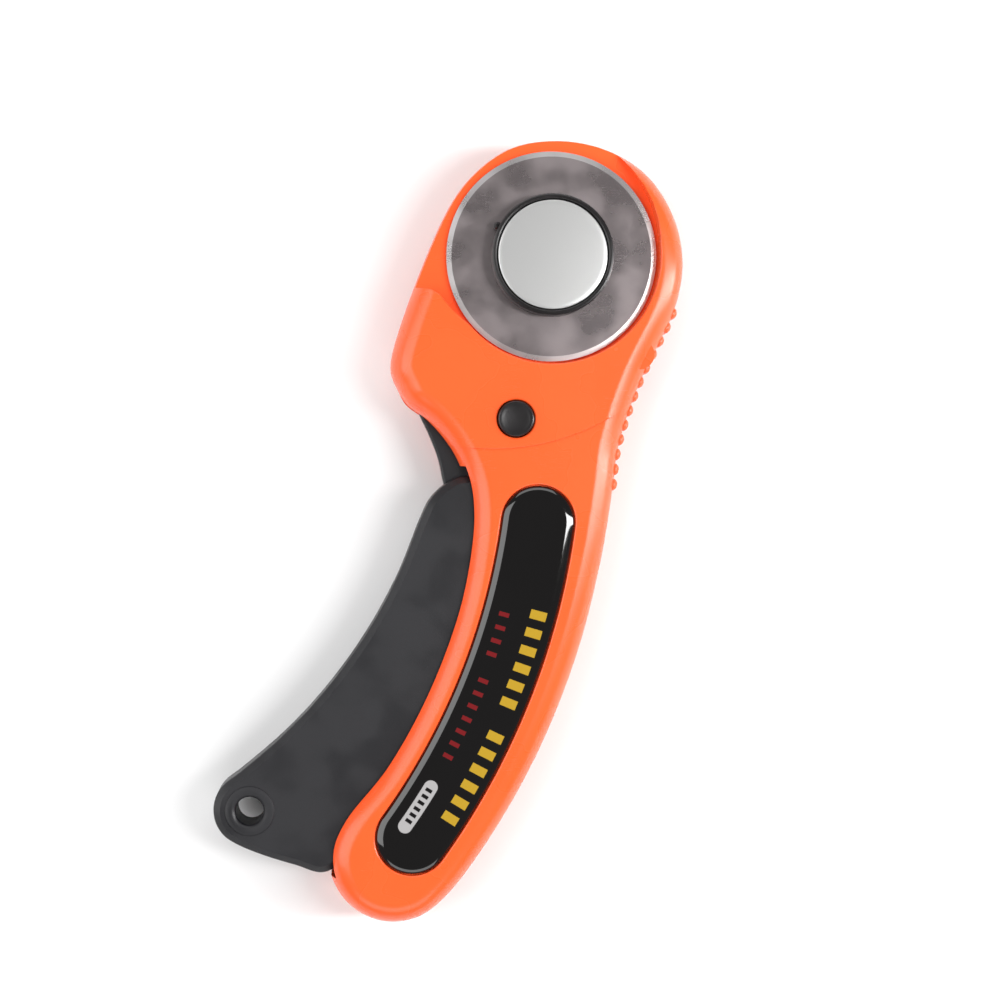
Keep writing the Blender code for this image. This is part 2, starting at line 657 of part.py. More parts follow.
# ---------------------------------------------------------------- lever and lock


def make_lever():
    """The squeeze lever: arm, boss for the blade, hub, lock holes, and the grip with its hook hole."""
    item = plate("trigger_lever", arm_outline(), ARM_BACK, ARM_FRONT, ARM_ROUND, steps=1)
    join(item, plate("grip", grip_outline(), GRIP_BACK, GRIP_FRONT, GRIP_ROUND))
    washer_top = HEAD_BACK + WASHER_THICK
    join(item, rod("boss", BLADE_AXIS, BOSS_RADIUS, washer_top + GAP, BLADE_BACK - 2 * GAP, 40))
    ring_front = GRIP_FRONT + HOOK_RING_PROUD
    join(item, rod("hook_ring", HOOK, HOOK_RING, GRIP_BACK - HOOK_RING_PROUD, ring_front, 40))
    join(item, spring_post("grip_post", -3 * GAP, SPRING_POST_LONG))
    cut(item, rod("hook_hole", HOOK, HOOK_HOLE, HANDLE_BACK, HANDLE_FRONT, 40))
    cut(item, rod("bolt_hole", BLADE_AXIS, BOLT_RADIUS + BOLT_PLAY, HANDLE_BACK, HEAD_FRONT, 24))
    hole = PIN_RADIUS + 2 * PIN_CLEARANCE + BUSH_WALL
    cut(item, rod("hub_hole", PIVOT, hole, ARM_BACK - GAP, ARM_FRONT + GAP, 24))
    open_place = turned_about(LOCK, PIVOT, -SQUEEZE)
    room = LOCK_COLLAR + LOCK_PLAY
    cut(item, rod("lock_hole_closed", LOCK, room, ARM_BACK - GAP, ARM_FRONT + GAP, 32))
    cut(item, rod("lock_hole_open", open_place, room, ARM_BACK - GAP, ARM_FRONT + GAP, 32))
    pocket = arc_slot(PIVOT, LOCK, -SQUEEZE, room + LOCK_PLAY)
    cut(item, plate("lock_pocket", pocket, ARM_BACK + LOCK_WEB, ARM_FRONT + 2 * GAP))
    return finish(item, "black_lever", (0.012, 0.012, 0.015), 0.5)


def make_lock():
    """The two halves of the push-through latch, at rest with the lever free."""
    top = HEAD_FRONT + LOCK_PROUD
    head_low = ARM_FRONT + GAP + LOCK_TRAVEL
    collar_low = ARM_BACK + LOCK_WEB + GAP
    neck_low = ARM_BACK - GAP
    cap_low = HEAD_BACK - LOCK_RING_PROUD + LOCK_CAP_INSIDE
    cap_high = neck_low - GAP
    tip_low = cap_low + LOCK_CAP_FLOOR
    profile = [(0.0, top - LOCK_DISH), (LOCK_HEAD * 0.6, top - LOCK_DISH * 0.6)]
    profile += [(LOCK_HEAD - LOCK_CHAMFER, top), (LOCK_HEAD, top - LOCK_CHAMFER)]
    profile += [(LOCK_HEAD, head_low), (LOCK_COLLAR, head_low)]
    profile += [(LOCK_COLLAR, collar_low), (LOCK_NECK, collar_low), (LOCK_NECK, neck_low)]
    profile += [(LOCK_TIP, neck_low), (LOCK_TIP, tip_low), (0.0, tip_low)]
    button = turned("lock_button", LOCK, profile, 24)
    finish(button, "black_button", (0.015, 0.013, 0.014), 0.4)
    hole = LOCK_TIP + LOCK_PLAY
    profile = [(LOCK_CAP, cap_high), (LOCK_CAP, cap_low + LOCK_CHAMFER), (LOCK_CAP - LOCK_CHAMFER, cap_low)]
    profile += [(0.0, cap_low), (0.0, tip_low - GAP), (hole, tip_low - GAP), (hole, cap_high)]
    cap = turned("lock_button_cap", LOCK, profile, 24)
    finish(cap, "black_button_cap", (0.015, 0.013, 0.014), 0.45)
    return button, cap


# ---------------------------------------------------------------- pieces


def make_blade():
    """The round blade, ground on both faces at its rim."""
    middle = BLADE_BACK + BLADE_THICK / 2
    flat = BLADE_RADIUS - BLADE_BEVEL
    profile = [(BLADE_BORE, BLADE_FRONT), (flat, BLADE_FRONT), (BLADE_RADIUS, middle + BLADE_EDGE / 2)]
    profile += [(BLADE_RADIUS, middle - BLADE_EDGE / 2), (flat, BLADE_BACK), (BLADE_BORE, BLADE_BACK)]
    return finish(turned("blade", BLADE_AXIS, profile, 64), "blade_steel", (0.22, 0.19, 0.19), 0.35, 1.0)


def make_knob():
    """The black cap with the hub that the blade turns on, hollow for the bolt's head."""
    foot = BLADE_FRONT + GAP
    top = foot + KNOB_HEIGHT
    floor = top - LABEL_SUNK - LABEL_THICK - GAP
    pocket = floor - BOLT_HEAD_THICK - GAP
    hub_low = BLADE_BACK - GAP
    bore = BOLT_RADIUS + BOLT_PLAY
    hub = BLADE_BORE - HUB_PLAY
    shoulder = KNOB_RADIUS - KNOB_CHAMFER
    profile = [(KNOB_RADIUS - KNOB_RIM, top), (shoulder, top), (KNOB_RADIUS, top - KNOB_CHAMFER)]
    profile += [(KNOB_RADIUS, foot), (hub, foot), (hub, hub_low), (bore, hub_low), (bore, floor)]
    profile += [(KNOB_RADIUS - KNOB_RIM, floor)]
    item = turned("blade_knob", BLADE_AXIS, profile, 48)
    cut(item, rod("bolt_head_pocket", BLADE_AXIS, BOLT_HEAD + GAP, pocket, floor + GAP, 6))
    return finish(item, "black_knob", (0.015, 0.014, 0.015), 0.35)


def make_label():
    """The printed disc in the cap's recess."""
    top = BLADE_FRONT + GAP + KNOB_HEIGHT - LABEL_SUNK
    radius = KNOB_RADIUS - KNOB_RIM - GAP
    profile = [(0.0, top), (radius - LABEL_CHAMFER, top), (radius, top - LABEL_CHAMFER)]
    profile += [(radius, top - LABEL_THICK), (0.0, top - LABEL_THICK)]
    return finish(turned("knob_label", BLADE_AXIS, profile, 40), "silver_label", (0.7, 0.7, 0.7), 0.3, 0.3)


def make_bolt():
    """The steel bolt, from its hexagonal head in the cap to its end in the nut."""
    floor = BLADE_FRONT + GAP + KNOB_HEIGHT - LABEL_SUNK - LABEL_THICK - GAP
    head_low = floor - BOLT_HEAD_THICK
    item = rod("blade_bolt", BLADE_AXIS, BOLT_RADIUS, NUT_FLOOR + 2 * GAP, head_low + GAP, 24)
    join(item, rod("bolt_head", BLADE_AXIS, BOLT_HEAD, head_low, floor - GAP / 2, 6))
    return finish(item, "bolt_steel", (0.55, 0.55, 0.56), 0.3, 1.0)


def make_washer():
    """The washer between the nut and the lever's boss."""
    low = HEAD_BACK
    high = low + WASHER_THICK
    bore = BOLT_RADIUS + 2 * BOLT_PLAY
    profile = [(bore, high), (WASHER_RADIUS, high), (WASHER_RADIUS, low), (bore, low)]
    washer = turned("spring_washer", BLADE_AXIS, profile, 32)
    return finish(washer, "washer_steel", (0.5, 0.5, 0.52), 0.35, 1.0)


def make_nut():
    """The knurled nut, closed behind, and its steel insert."""
    top = HEAD_BACK - GAP
    loop = []
    count = NUT_FLUTES * 4
    for i in range(count):
        turn = 360.0 * i / count
        radius = NUT_RADIUS + NUT_FLUTE * math.cos(math.radians(turn * NUT_FLUTES))
        loop.append(polar(BLADE_AXIS, radius, turn))
    nut = plate("rear_nut", loop, HANDLE_BACK, top, NUT_ROUND, steps=1)
    cut(nut, rod("insert_pocket", BLADE_AXIS, INSERT_RADIUS + GAP, NUT_FLOOR, top + GAP, 6))
    finish(nut, "black_nut", (0.015, 0.014, 0.015), 0.45)
    low = NUT_FLOOR + GAP
    insert = rod("nut_insert", BLADE_AXIS, INSERT_RADIUS, low, low + INSERT_THICK, 6)
    bore_high = low + INSERT_THICK + GAP
    cut(insert, rod("insert_bore", BLADE_AXIS, BOLT_RADIUS + BOLT_PLAY, low - GAP, bore_high, 24))
    finish(insert, "insert_steel", (0.55, 0.55, 0.56), 0.3, 1.0)
    return nut, insert


def make_pivot():
    """The pin in its blind holes in both shells, and the bush round it in the lever's hub."""
    low = HEAD_BACK + HEAD_WALL - PIN_DEPTH_BACK + GAP
    pin = rod("pivot_pin", PIVOT, PIN_RADIUS, low, GUARD_BACK + PIN_DEPTH_FRONT - GAP, 24)
    finish(pin, "pin_steel", (0.6, 0.6, 0.6), 0.25, 1.0)
    inner = PIN_RADIUS + PIN_CLEARANCE
    outer = inner + BUSH_WALL
    profile = [(inner, ARM_FRONT), (outer, ARM_FRONT), (outer, ARM_BACK), (inner, ARM_BACK)]
    bush = finish(turned("pivot_bush", PIVOT, profile, 24), "bush_brass", (0.75, 0.55, 0.25), 0.35, 1.0)
    return pin, bush


def make_inlay():
    """The domed inlay in the front shell's recess."""
    low = HANDLE_FRONT - INLAY_SUNK + GAP
    item = plate("front_inlay", inlay_outline(), low, HANDLE_FRONT + INLAY_PROUD, INLAY_ROUND)
    return finish(item, "gloss_black", (0.008, 0.007, 0.007), 0.08)


def make_spring():
    """The return spring: a coil between the grip's post and the handle's back wall."""
    start, way, length = spring_line()
    across = Vector((-way.y, way.x, 0.0))
    up = Vector((0.0, 0.0, 1.0))
    curve = bpy.data.curves.new("return_spring", "CURVE")
    curve.dimensions = "3D"
    curve.bevel_depth = SPRING_WIRE
    curve.bevel_resolution = 2
    curve.use_fill_caps = True
    spline = curve.splines.new("POLY")
    per_turn = 10
    count = SPRING_TURNS * per_turn + 1
    spline.points.add(count - 1)
    room = length - 2 * SPRING_WIRE
    for i, point in enumerate(spline.points):
        turn = 2 * math.pi * i / per_turn
        reach = SPRING_WIRE + room * i / (count - 1)
        place = start + way * reach + (across * math.cos(turn) + up * math.sin(turn)) * SPRING_COIL
        point.co = (place.x, place.y, place.z + SEAM, 1.0)
    item = as_mesh(add("return_spring", curve))
    return finish(item, "spring_steel", (0.6, 0.6, 0.6), 0.3, 1.0, 60.0)


def make_screws():
    """The screws that hold the shells together from the back."""
    for name, place, back in screw_places():
        low = back + SCREW_SINK
        shoulder = low + SCREW_HEAD_THICK
        tip = low + SCREW_LONG
        profile = [(0.0, tip), (SCREW_SHANK * 0.7, tip - SCREW_TIP_END), (SCREW_SHANK, tip - SCREW_TIP)]
        profile += [(SCREW_SHANK, shoulder), (SCREW_HEAD, shoulder), (SCREW_HEAD, low + SCREW_HEAD_EDGE)]
        profile += [(SCREW_HEAD - SCREW_HEAD_CHAMFER, low), (0.0, low)]
        item = turned(name, place, profile, 16)
        for way, size in (("x", (SCREW_CROSS, SCREW_SLOT)), ("y", (SCREW_SLOT, SCREW_CROSS))):
            cut(item, bar(f"{name}_cross_{way}", place, size, low - GAP, low + SCREW_SLOT_DEEP))
        finish(item, "screw_steel", (0.4, 0.4, 0.42), 0.35, 1.0)


def main():
    """Clears the scene, then builds each piece and hangs the moving ones on their axes."""
    for item in list(bpy.data.objects):
        bpy.data.objects.remove(item)
    bpy.context.scene.collection.children.link(COLLECTION)
    bpy.context.scene.collection.children.link(CUTTERS)
    make_front_shell()
    make_rear_shell()
    make_inlay()
    pin, bush = make_pivot()
    make_spring()
    make_screws()
    lever = make_lever()
    blade = make_blade()
    washer = make_washer()
    nut, insert = make_nut()
    button, cap = make_lock()
    squeeze_axis = axis_empty("squeeze_axis", PIVOT)
    blade_axis = axis_empty("blade_axis", BLADE_AXIS, squeeze_axis)
    lock_axis = axis_empty("lock_axis", LOCK)
    hang(squeeze_axis, lever, bush, make_knob(), make_label(), make_bolt())
    hang(blade_axis, blade, washer, nut, insert)
    hang(lock_axis, button, cap)


main()
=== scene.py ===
"""Rotary cutter with a squeeze lever: the finished pieces, built around its working model.

Sizes in this script are in millimetres, in the working model's frame: +Z is the side that the blade is on,
+Y runs from the handle to the head, and the origin is on the blade's axis, at the surface under the cutter.
A mesh is turned into metres where it is made.
"""

import json
import logging
import math
from collections.abc import Callable, Sequence
from dataclasses import dataclass
from enum import Enum

import bmesh
import bpy
import numpy as np
from mathutils import Matrix, Vector


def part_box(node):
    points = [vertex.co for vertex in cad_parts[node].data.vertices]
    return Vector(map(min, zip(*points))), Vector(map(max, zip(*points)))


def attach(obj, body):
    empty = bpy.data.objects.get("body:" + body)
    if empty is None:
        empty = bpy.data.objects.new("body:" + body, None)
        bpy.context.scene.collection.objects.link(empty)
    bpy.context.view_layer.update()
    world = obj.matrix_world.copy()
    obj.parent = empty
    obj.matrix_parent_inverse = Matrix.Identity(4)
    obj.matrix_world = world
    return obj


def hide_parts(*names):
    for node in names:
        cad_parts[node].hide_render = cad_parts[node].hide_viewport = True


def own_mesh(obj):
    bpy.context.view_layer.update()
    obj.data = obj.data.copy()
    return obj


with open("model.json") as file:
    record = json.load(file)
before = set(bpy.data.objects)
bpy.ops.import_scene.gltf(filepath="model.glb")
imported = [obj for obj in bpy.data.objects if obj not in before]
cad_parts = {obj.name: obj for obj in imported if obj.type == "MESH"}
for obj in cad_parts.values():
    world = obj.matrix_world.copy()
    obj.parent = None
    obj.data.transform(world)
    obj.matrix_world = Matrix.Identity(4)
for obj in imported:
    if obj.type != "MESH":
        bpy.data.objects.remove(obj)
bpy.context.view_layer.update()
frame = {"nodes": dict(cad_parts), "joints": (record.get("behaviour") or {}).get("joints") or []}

MM = 0.001  # metres
PER_METRE = 1 / MM
WELD = 0.002 * MM  # points this close are one
PRINT_BLUR = 0.08  # half the soft edge of a print
CLEAR = 1.0  # how far a cutter runs past what it cuts
LOG = logging.getLogger("rotary_cutter")

Pair = tuple[float, float]
Section = list[Pair]
Colour = tuple[float, float, float]
Socket = bpy.types.NodeSocket
Item = bpy.types.Object


# ---------------------------------------------------------------- outlines


def polar(centre: Sequence[float], radius: float, degrees: float) -> np.ndarray:
    """Gives the point at a distance and direction from a centre.

    Args:
        centre: The centre.
        radius: The distance from it.
        degrees: The direction, anticlockwise from +X.

    Returns:
        The point.
    """
    angle = math.radians(degrees)
    return np.array([centre[0] + radius * math.cos(angle), centre[1] + radius * math.sin(angle)])


def arc(centre: Sequence[float], radius: float, first: float, last: float, count: int) -> list[np.ndarray]:
    """Gives evenly spaced points on an arc, both ends included.

    Args:
        centre: The arc's centre.
        radius: Its radius.
        first: The direction of its first point, in degrees.
        last: The direction of its last point.
        count: The number of points.

    Returns:
        The points, in order.
    """
    return [polar(centre, radius, first + (last - first) * i / (count - 1)) for i in range(count)]


def smooth_loop(points: Sequence[np.ndarray], steps: int = 12) -> np.ndarray:
    """Draws a closed centripetal Catmull-Rom curve through points.

    Args:
        points: The points that it passes through.
        steps: How many points it gets between two of them.

    Returns:
        The loop, one row a point.
    """
    found = []
    count = len(points)
    for i in range(count):
        before, start, end, after = (points[(i + j) % count] for j in (-1, 0, 1, 2))
        knots = [0.0]
        for a, b in ((before, start), (start, end), (end, after)):
            knots.append(knots[-1] + math.sqrt(np.linalg.norm(b - a)))
        for step in range(steps):
            t = knots[1] + (knots[2] - knots[1]) * step / steps
            a1 = before + (start - before) * (t - knots[0]) / (knots[1] - knots[0])
            a2 = start + (end - start) * (t - knots[1]) / (knots[2] - knots[1])
            a3 = end + (after - end) * (t - knots[2]) / (knots[3] - knots[2])
            b1 = a1 + (a2 - a1) * (t - knots[0]) / (knots[2] - knots[0])
            b2 = a2 + (a3 - a2) * (t - knots[1]) / (knots[3] - knots[1])
            found.append(b1 + (b2 - b1) * (t - knots[1]) / (knots[2] - knots[1]))
    return np.array(found)


def even_loop(loop: np.ndarray, spacing: float, passes: int = 0) -> np.ndarray:
    """Spaces a closed loop's points evenly, then softens it.

    Args:
        loop: The loop.
        spacing: The distance wanted between points.
        passes: How many times each point is drawn towards its two neighbours.

    Returns:
        The new loop.
    """
    closed = np.vstack([loop, loop[:1]])
    reach = np.concatenate([[0.0], np.cumsum(np.linalg.norm(np.diff(closed, axis=0), axis=1))])
    count = int(round(reach[-1] / spacing))
    places = np.linspace(0.0, reach[-1], count, endpoint=False)
    even = np.column_stack([np.interp(places, reach, closed[:, axis]) for axis in (0, 1)])
    for _ in range(passes):
        even = 0.25 * np.roll(even, 1, axis=0) + 0.5 * even + 0.25 * np.roll(even, -1, axis=0)
    return even


def drawn_in(loop: np.ndarray, distance: float) -> np.ndarray:
    """Draws an anticlockwise loop in all round, or out if the distance is negative.

    Args:
        loop: The loop.
        distance: How far each side moves inwards.

    Returns:
        The new loop, with as many points.
    """
    back = loop - np.roll(loop, 1, axis=0)
    ahead = np.roll(loop, -1, axis=0) - loop
    back /= np.linalg.norm(back, axis=1, keepdims=True)
    ahead /= np.linalg.norm(ahead, axis=1, keepdims=True)
    inward = np.column_stack([-back[:, 1] - ahead[:, 1], back[:, 0] + ahead[:, 0]])
    inward /= np.linalg.norm(inward, axis=1, keepdims=True)
    lean = np.abs(inward[:, 0] * -back[:, 1] + inward[:, 1] * back[:, 0])
    return loop + inward * (distance / np.maximum(lean, 0.4))[:, None]


def round_over(width: float, wall: float, face: float, steps: int = 8) -> Section:
    """Gives the section of a rounded edge, a quarter of an ellipse.

    Args:
        width: How far in the face starts, or how far out on a cutter, if negative.
        wall: The level where the wall ends.
        face: The level of the face.
        steps: The number of sides of the quarter.

    Returns:
        Pairs of inset and level, from the wall to the face.
    """
    turns = [math.pi / 2 * i / steps for i in range(steps + 1)]
    return [(width * (1 - math.cos(t)), wall + (face - wall) * math.sin(t)) for t in turns]


# ---------------------------------------------------------------- solids


def made(name: str, points: Sequence, faces: Sequence, edges: Sequence[tuple[int, int]] = ()) -> Item:
    """Makes a mesh object from points in millimetres.

    Args:
        name: The object's name.
        points: Its points.
        faces: Its faces, as point numbers.
        edges: Its loose edges, as point numbers.

    Returns:
        The object.
    """
    mesh = bpy.data.meshes.new(name)
    mesh.from_pydata([tuple(c * MM for c in point) for point in points], edges, faces)
    item = bpy.data.objects.new(name, mesh)
    bpy.context.scene.collection.objects.link(item)
    return item


def raised(name: str, loop: np.ndarray, section: Sequence[Pair]) -> Item:
    """Raises an anticlockwise loop into a closed solid.

    Args:
        name: The object's name.
        loop: Its outline.
        section: Pairs of inset and level, bottom to top.

    Returns:
        The solid.
    """
    count = len(loop)
    points = [(x, y, level) for inset, level in section for x, y in drawn_in(loop, inset)]
    faces = [tuple(range(count - 1, -1, -1)), tuple(range(len(points) - count, len(points)))]
    for ring in range(len(section) - 1):
        for i in range(count):
            a, b = ring * count + i, ring * count + (i + 1) % count
            faces.append((a, b, b + count, a + count))
    return made(name, points, faces)


def spun(name: str, centre: Sequence[float], section: Sequence[Pair], sides: int = 96) -> Item:
    """Turns a section about an upright axis.

    Args:
        name: The object's name.
        centre: Where the axis is.
        section: Pairs of radius and level, which run down the outer side. One that starts away from the
            axis is closed on itself, as a ring's is.
        sides: The number of sides.

    Returns:
        The solid.
    """
    points, rings, faces = [], [], []
    for radius, level in section:
        turns = [2 * math.pi * i / sides for i in range(sides)] if radius > 0 else [0.0]
        rings.append(range(len(points), len(points) + len(turns)))
        points += [(centre[0] + radius * math.cos(t), centre[1] + radius * math.sin(t), level) for t in turns]
    pairs = list(zip(rings, rings[1:]))
    if section[0][0] > 0:
        pairs.append((rings[-1], rings[0]))
    for upper, lower in pairs:
        for i in range(sides):
            j = (i + 1) % sides
            corners = [(upper, i), (lower, i), (lower, j), (upper, j)]
            faces.append(tuple(dict.fromkeys(ring[k % len(ring)] for ring, k in corners)))
    return made(name, points, [face for face in faces if len(face) > 2])


def rod(name: str, centre: Sequence[float], radius: float, low: float, high: float, sides: int = 64) -> Item:
    """Makes an upright cylinder between two levels, mostly as a cutter or a boss."""
    return spun(name, centre, [(0.0, high), (radius, high), (radius, low), (0.0, low)], sides)


def baked(item: Item) -> Item:
    """Replaces an object's mesh with what its modifiers make of it, and removes them."""
    bpy.context.view_layer.update()
    evaluated = item.evaluated_get(bpy.context.evaluated_depsgraph_get())
    mesh = bpy.data.meshes.new_from_object(evaluated)
    item.modifiers.clear()
    item.data = mesh
    return item


def combine(item: Item, operation: str, tools: Sequence[Item]) -> Item:
    """Combines a solid with others, one after another, and removes them.

    Args:
        item: The solid.
        operation: DIFFERENCE, UNION or INTERSECT.
        tools: The other solids.

    Returns:
        The same solid, changed.
    """
    for tool in tools:
        modifier = item.modifiers.new(operation, "BOOLEAN")
        modifier.operation = operation
        modifier.object = tool
        modifier.solver = "EXACT"
        baked(item)
        bpy.data.objects.remove(tool)
    return item


def cut(item: Item, *tools: Item) -> Item:
    """Cuts each tool out of a solid."""
    return combine(item, "DIFFERENCE", tools)


def join(item: Item, *tools: Item) -> Item:
    """Joins each tool to a solid."""
    return combine(item, "UNION", tools)


def keep(item: Item, tool: Item) -> Item:
    """Keeps only what a solid shares with the tool."""
    return combine(item, "INTERSECT", [tool])


def shaded(item: Item, sharp: float = 32.0) -> Item:
    """Cleans a mesh, and shades its round faces smooth while its flat faces stay flat.

    Args:
        item: The object.
        sharp: The angle in degrees past which an edge is sharp.

    Returns:
        The object.
    """
    work = bmesh.new()
    work.from_mesh(item.data)
    bmesh.ops.remove_doubles(work, verts=work.verts, dist=WELD)
    bmesh.ops.dissolve_degenerate(work, edges=work.edges, dist=WELD)
    work.to_mesh(item.data)
    work.free()
    item.data.shade_smooth()
    item.data.set_sharp_from_angle(angle=math.radians(sharp))
    weighted = item.modifiers.new("flat faces stay flat", "WEIGHTED_NORMAL")
    weighted.keep_sharp = True
    weighted.weight = 100
    return item


# ---------------------------------------------------------------- node trees


class Tree:
    """Short calls for building a node tree."""

    def __init__(self, tree: bpy.types.NodeTree) -> None:
        """Takes the tree to build in."""
        self.tree = tree

    def add(self, kind: str, values: dict | None = None, **settings: object) -> bpy.types.Node:
        """Adds a node.

        Args:
            kind: The node's type.
            values: Its inputs by name or number: a value each, or a socket to link.
            **settings: Its own settings.

        Returns:
            The node.
        """
        node = self.tree.nodes.new(kind)
        for key, value in settings.items():
            setattr(node, key, value)
        for key, value in (values or {}).items():
            self.fill(node.inputs[key], value)
        return node

    def fill(self, given: Socket, value: object) -> None:
        """Links a socket to an input, or sets the input to a value."""
        if isinstance(value, bpy.types.NodeSocket):
            self.tree.links.new(value, given)
        else:
            given.default_value = value

    def group(self, group: bpy.types.NodeTree, values: dict) -> bpy.types.Node:
        """Adds a group node, then fills its inputs, which it has only once it has its group.

        Args:
            group: The group.
            values: Its inputs by name: a value each, or a socket to link.

        Returns:
            The node.
        """
        return self.add("ShaderNodeGroup", values, node_tree=group)

    def send(self, output: Socket, given: Socket) -> None:
        """Links an output to an input."""
        self.tree.links.new(output, given)

    @property
    def given(self) -> bpy.types.bpy_prop_collection:
        """What comes into a group."""
        return self.tree.nodes["inputs"].outputs

    @property
    def result(self) -> bpy.types.bpy_prop_collection:
        """What goes out of a group."""
        return self.tree.nodes["outputs"].inputs

    def square(self, value: Socket) -> Socket:
        """Multiplies a value by itself."""
        return self.math("MULTIPLY", value, value)

    def length(self, x: Socket, y: Socket) -> Socket:
        """Gives the length of a flat vector."""
        return self.math("SQRT", self.math("ADD", self.square(x), self.square(y)))

    def band(self, value: Socket, limit: float, over: float = 0.0) -> Socket:
        """Gives a soft-edged mask of what is under a limit, or past it where over is 1."""
        return self.spread(value, limit - PRINT_BLUR, limit + PRINT_BLUR, 1.0 - over, over)

    def math(self, operation: str, *terms: object, clamp: bool = False) -> Socket:
        """Adds a Math node.

        Args:
            operation: What it does.
            *terms: Its numbers or sockets.
            clamp: Whether its result stays between 0 and 1.

        Returns:
            Its result.
        """
        node = self.add("ShaderNodeMath", dict(enumerate(terms)), operation=operation, use_clamp=clamp)
        return node.outputs[0]

    def spread(self, value: Socket, low: float, high: float, to_low: float, to_high: float) -> Socket:
        """Maps a value smoothly from one range to another.

        Args:
            value: The value.
            low: Where its range starts.
            high: Where it ends.
            to_low: What the start becomes.
            to_high: What the end becomes.

        Returns:
            The mapped value.
        """
        values = {0: value, 1: low, 2: high, 3: to_low, 4: to_high}
        return self.add("ShaderNodeMapRange", values, interpolation_type="SMOOTHSTEP").outputs[0]

    def blend(self, share: object, first: object, second: object) -> Socket:
        """Mixes two colours.

        Args:
            share: How much of the second.
            first: The first colour.
            second: The second.

        Returns:
            The mixed colour.
        """
        node = self.add("ShaderNodeMix", data_type="RGBA")
        share_input, first_input, second_input, result = 0, 6, 7, 2
        for index, value in ((share_input, share), (first_input, first), (second_input, second)):
            self.fill(node.inputs[index], value)
        return node.outputs[result]


def new_group(name: str, kind: str, inputs: dict[str, tuple[str, object]], outputs: dict[str, str]) -> Tree:
    """Starts a node group with named sockets, and its input and output nodes.

    Args:
        name: The group's name.
        kind: The tree's type.
        inputs: The type and the first value of each input.
        outputs: The type of each output.

    Returns:
        The tree, with nodes called inputs and outputs.
    """
    group = bpy.data.node_groups.new(name, kind)
    for key, (socket, value) in inputs.items():
        made_socket = group.interface.new_socket(key, in_out="INPUT", socket_type=socket)
        if value is not None:
            made_socket.default_value = value
    for key, socket in outputs.items():
        group.interface.new_socket(key, in_out="OUTPUT", socket_type=socket)
    tree = Tree(group)
    tree.add("NodeGroupInput", name="inputs")
    tree.add("NodeGroupOutput", name="outputs")
    return tree


FLOAT, VECTOR, INTEGER = "NodeSocketFloat", "NodeSocketVector", "NodeSocketInt"
GEOMETRY, OBJECT = "NodeSocketGeometry", "NodeSocketObject"
MATERIAL_INPUT = {"Material": ("NodeSocketMaterial", None)}


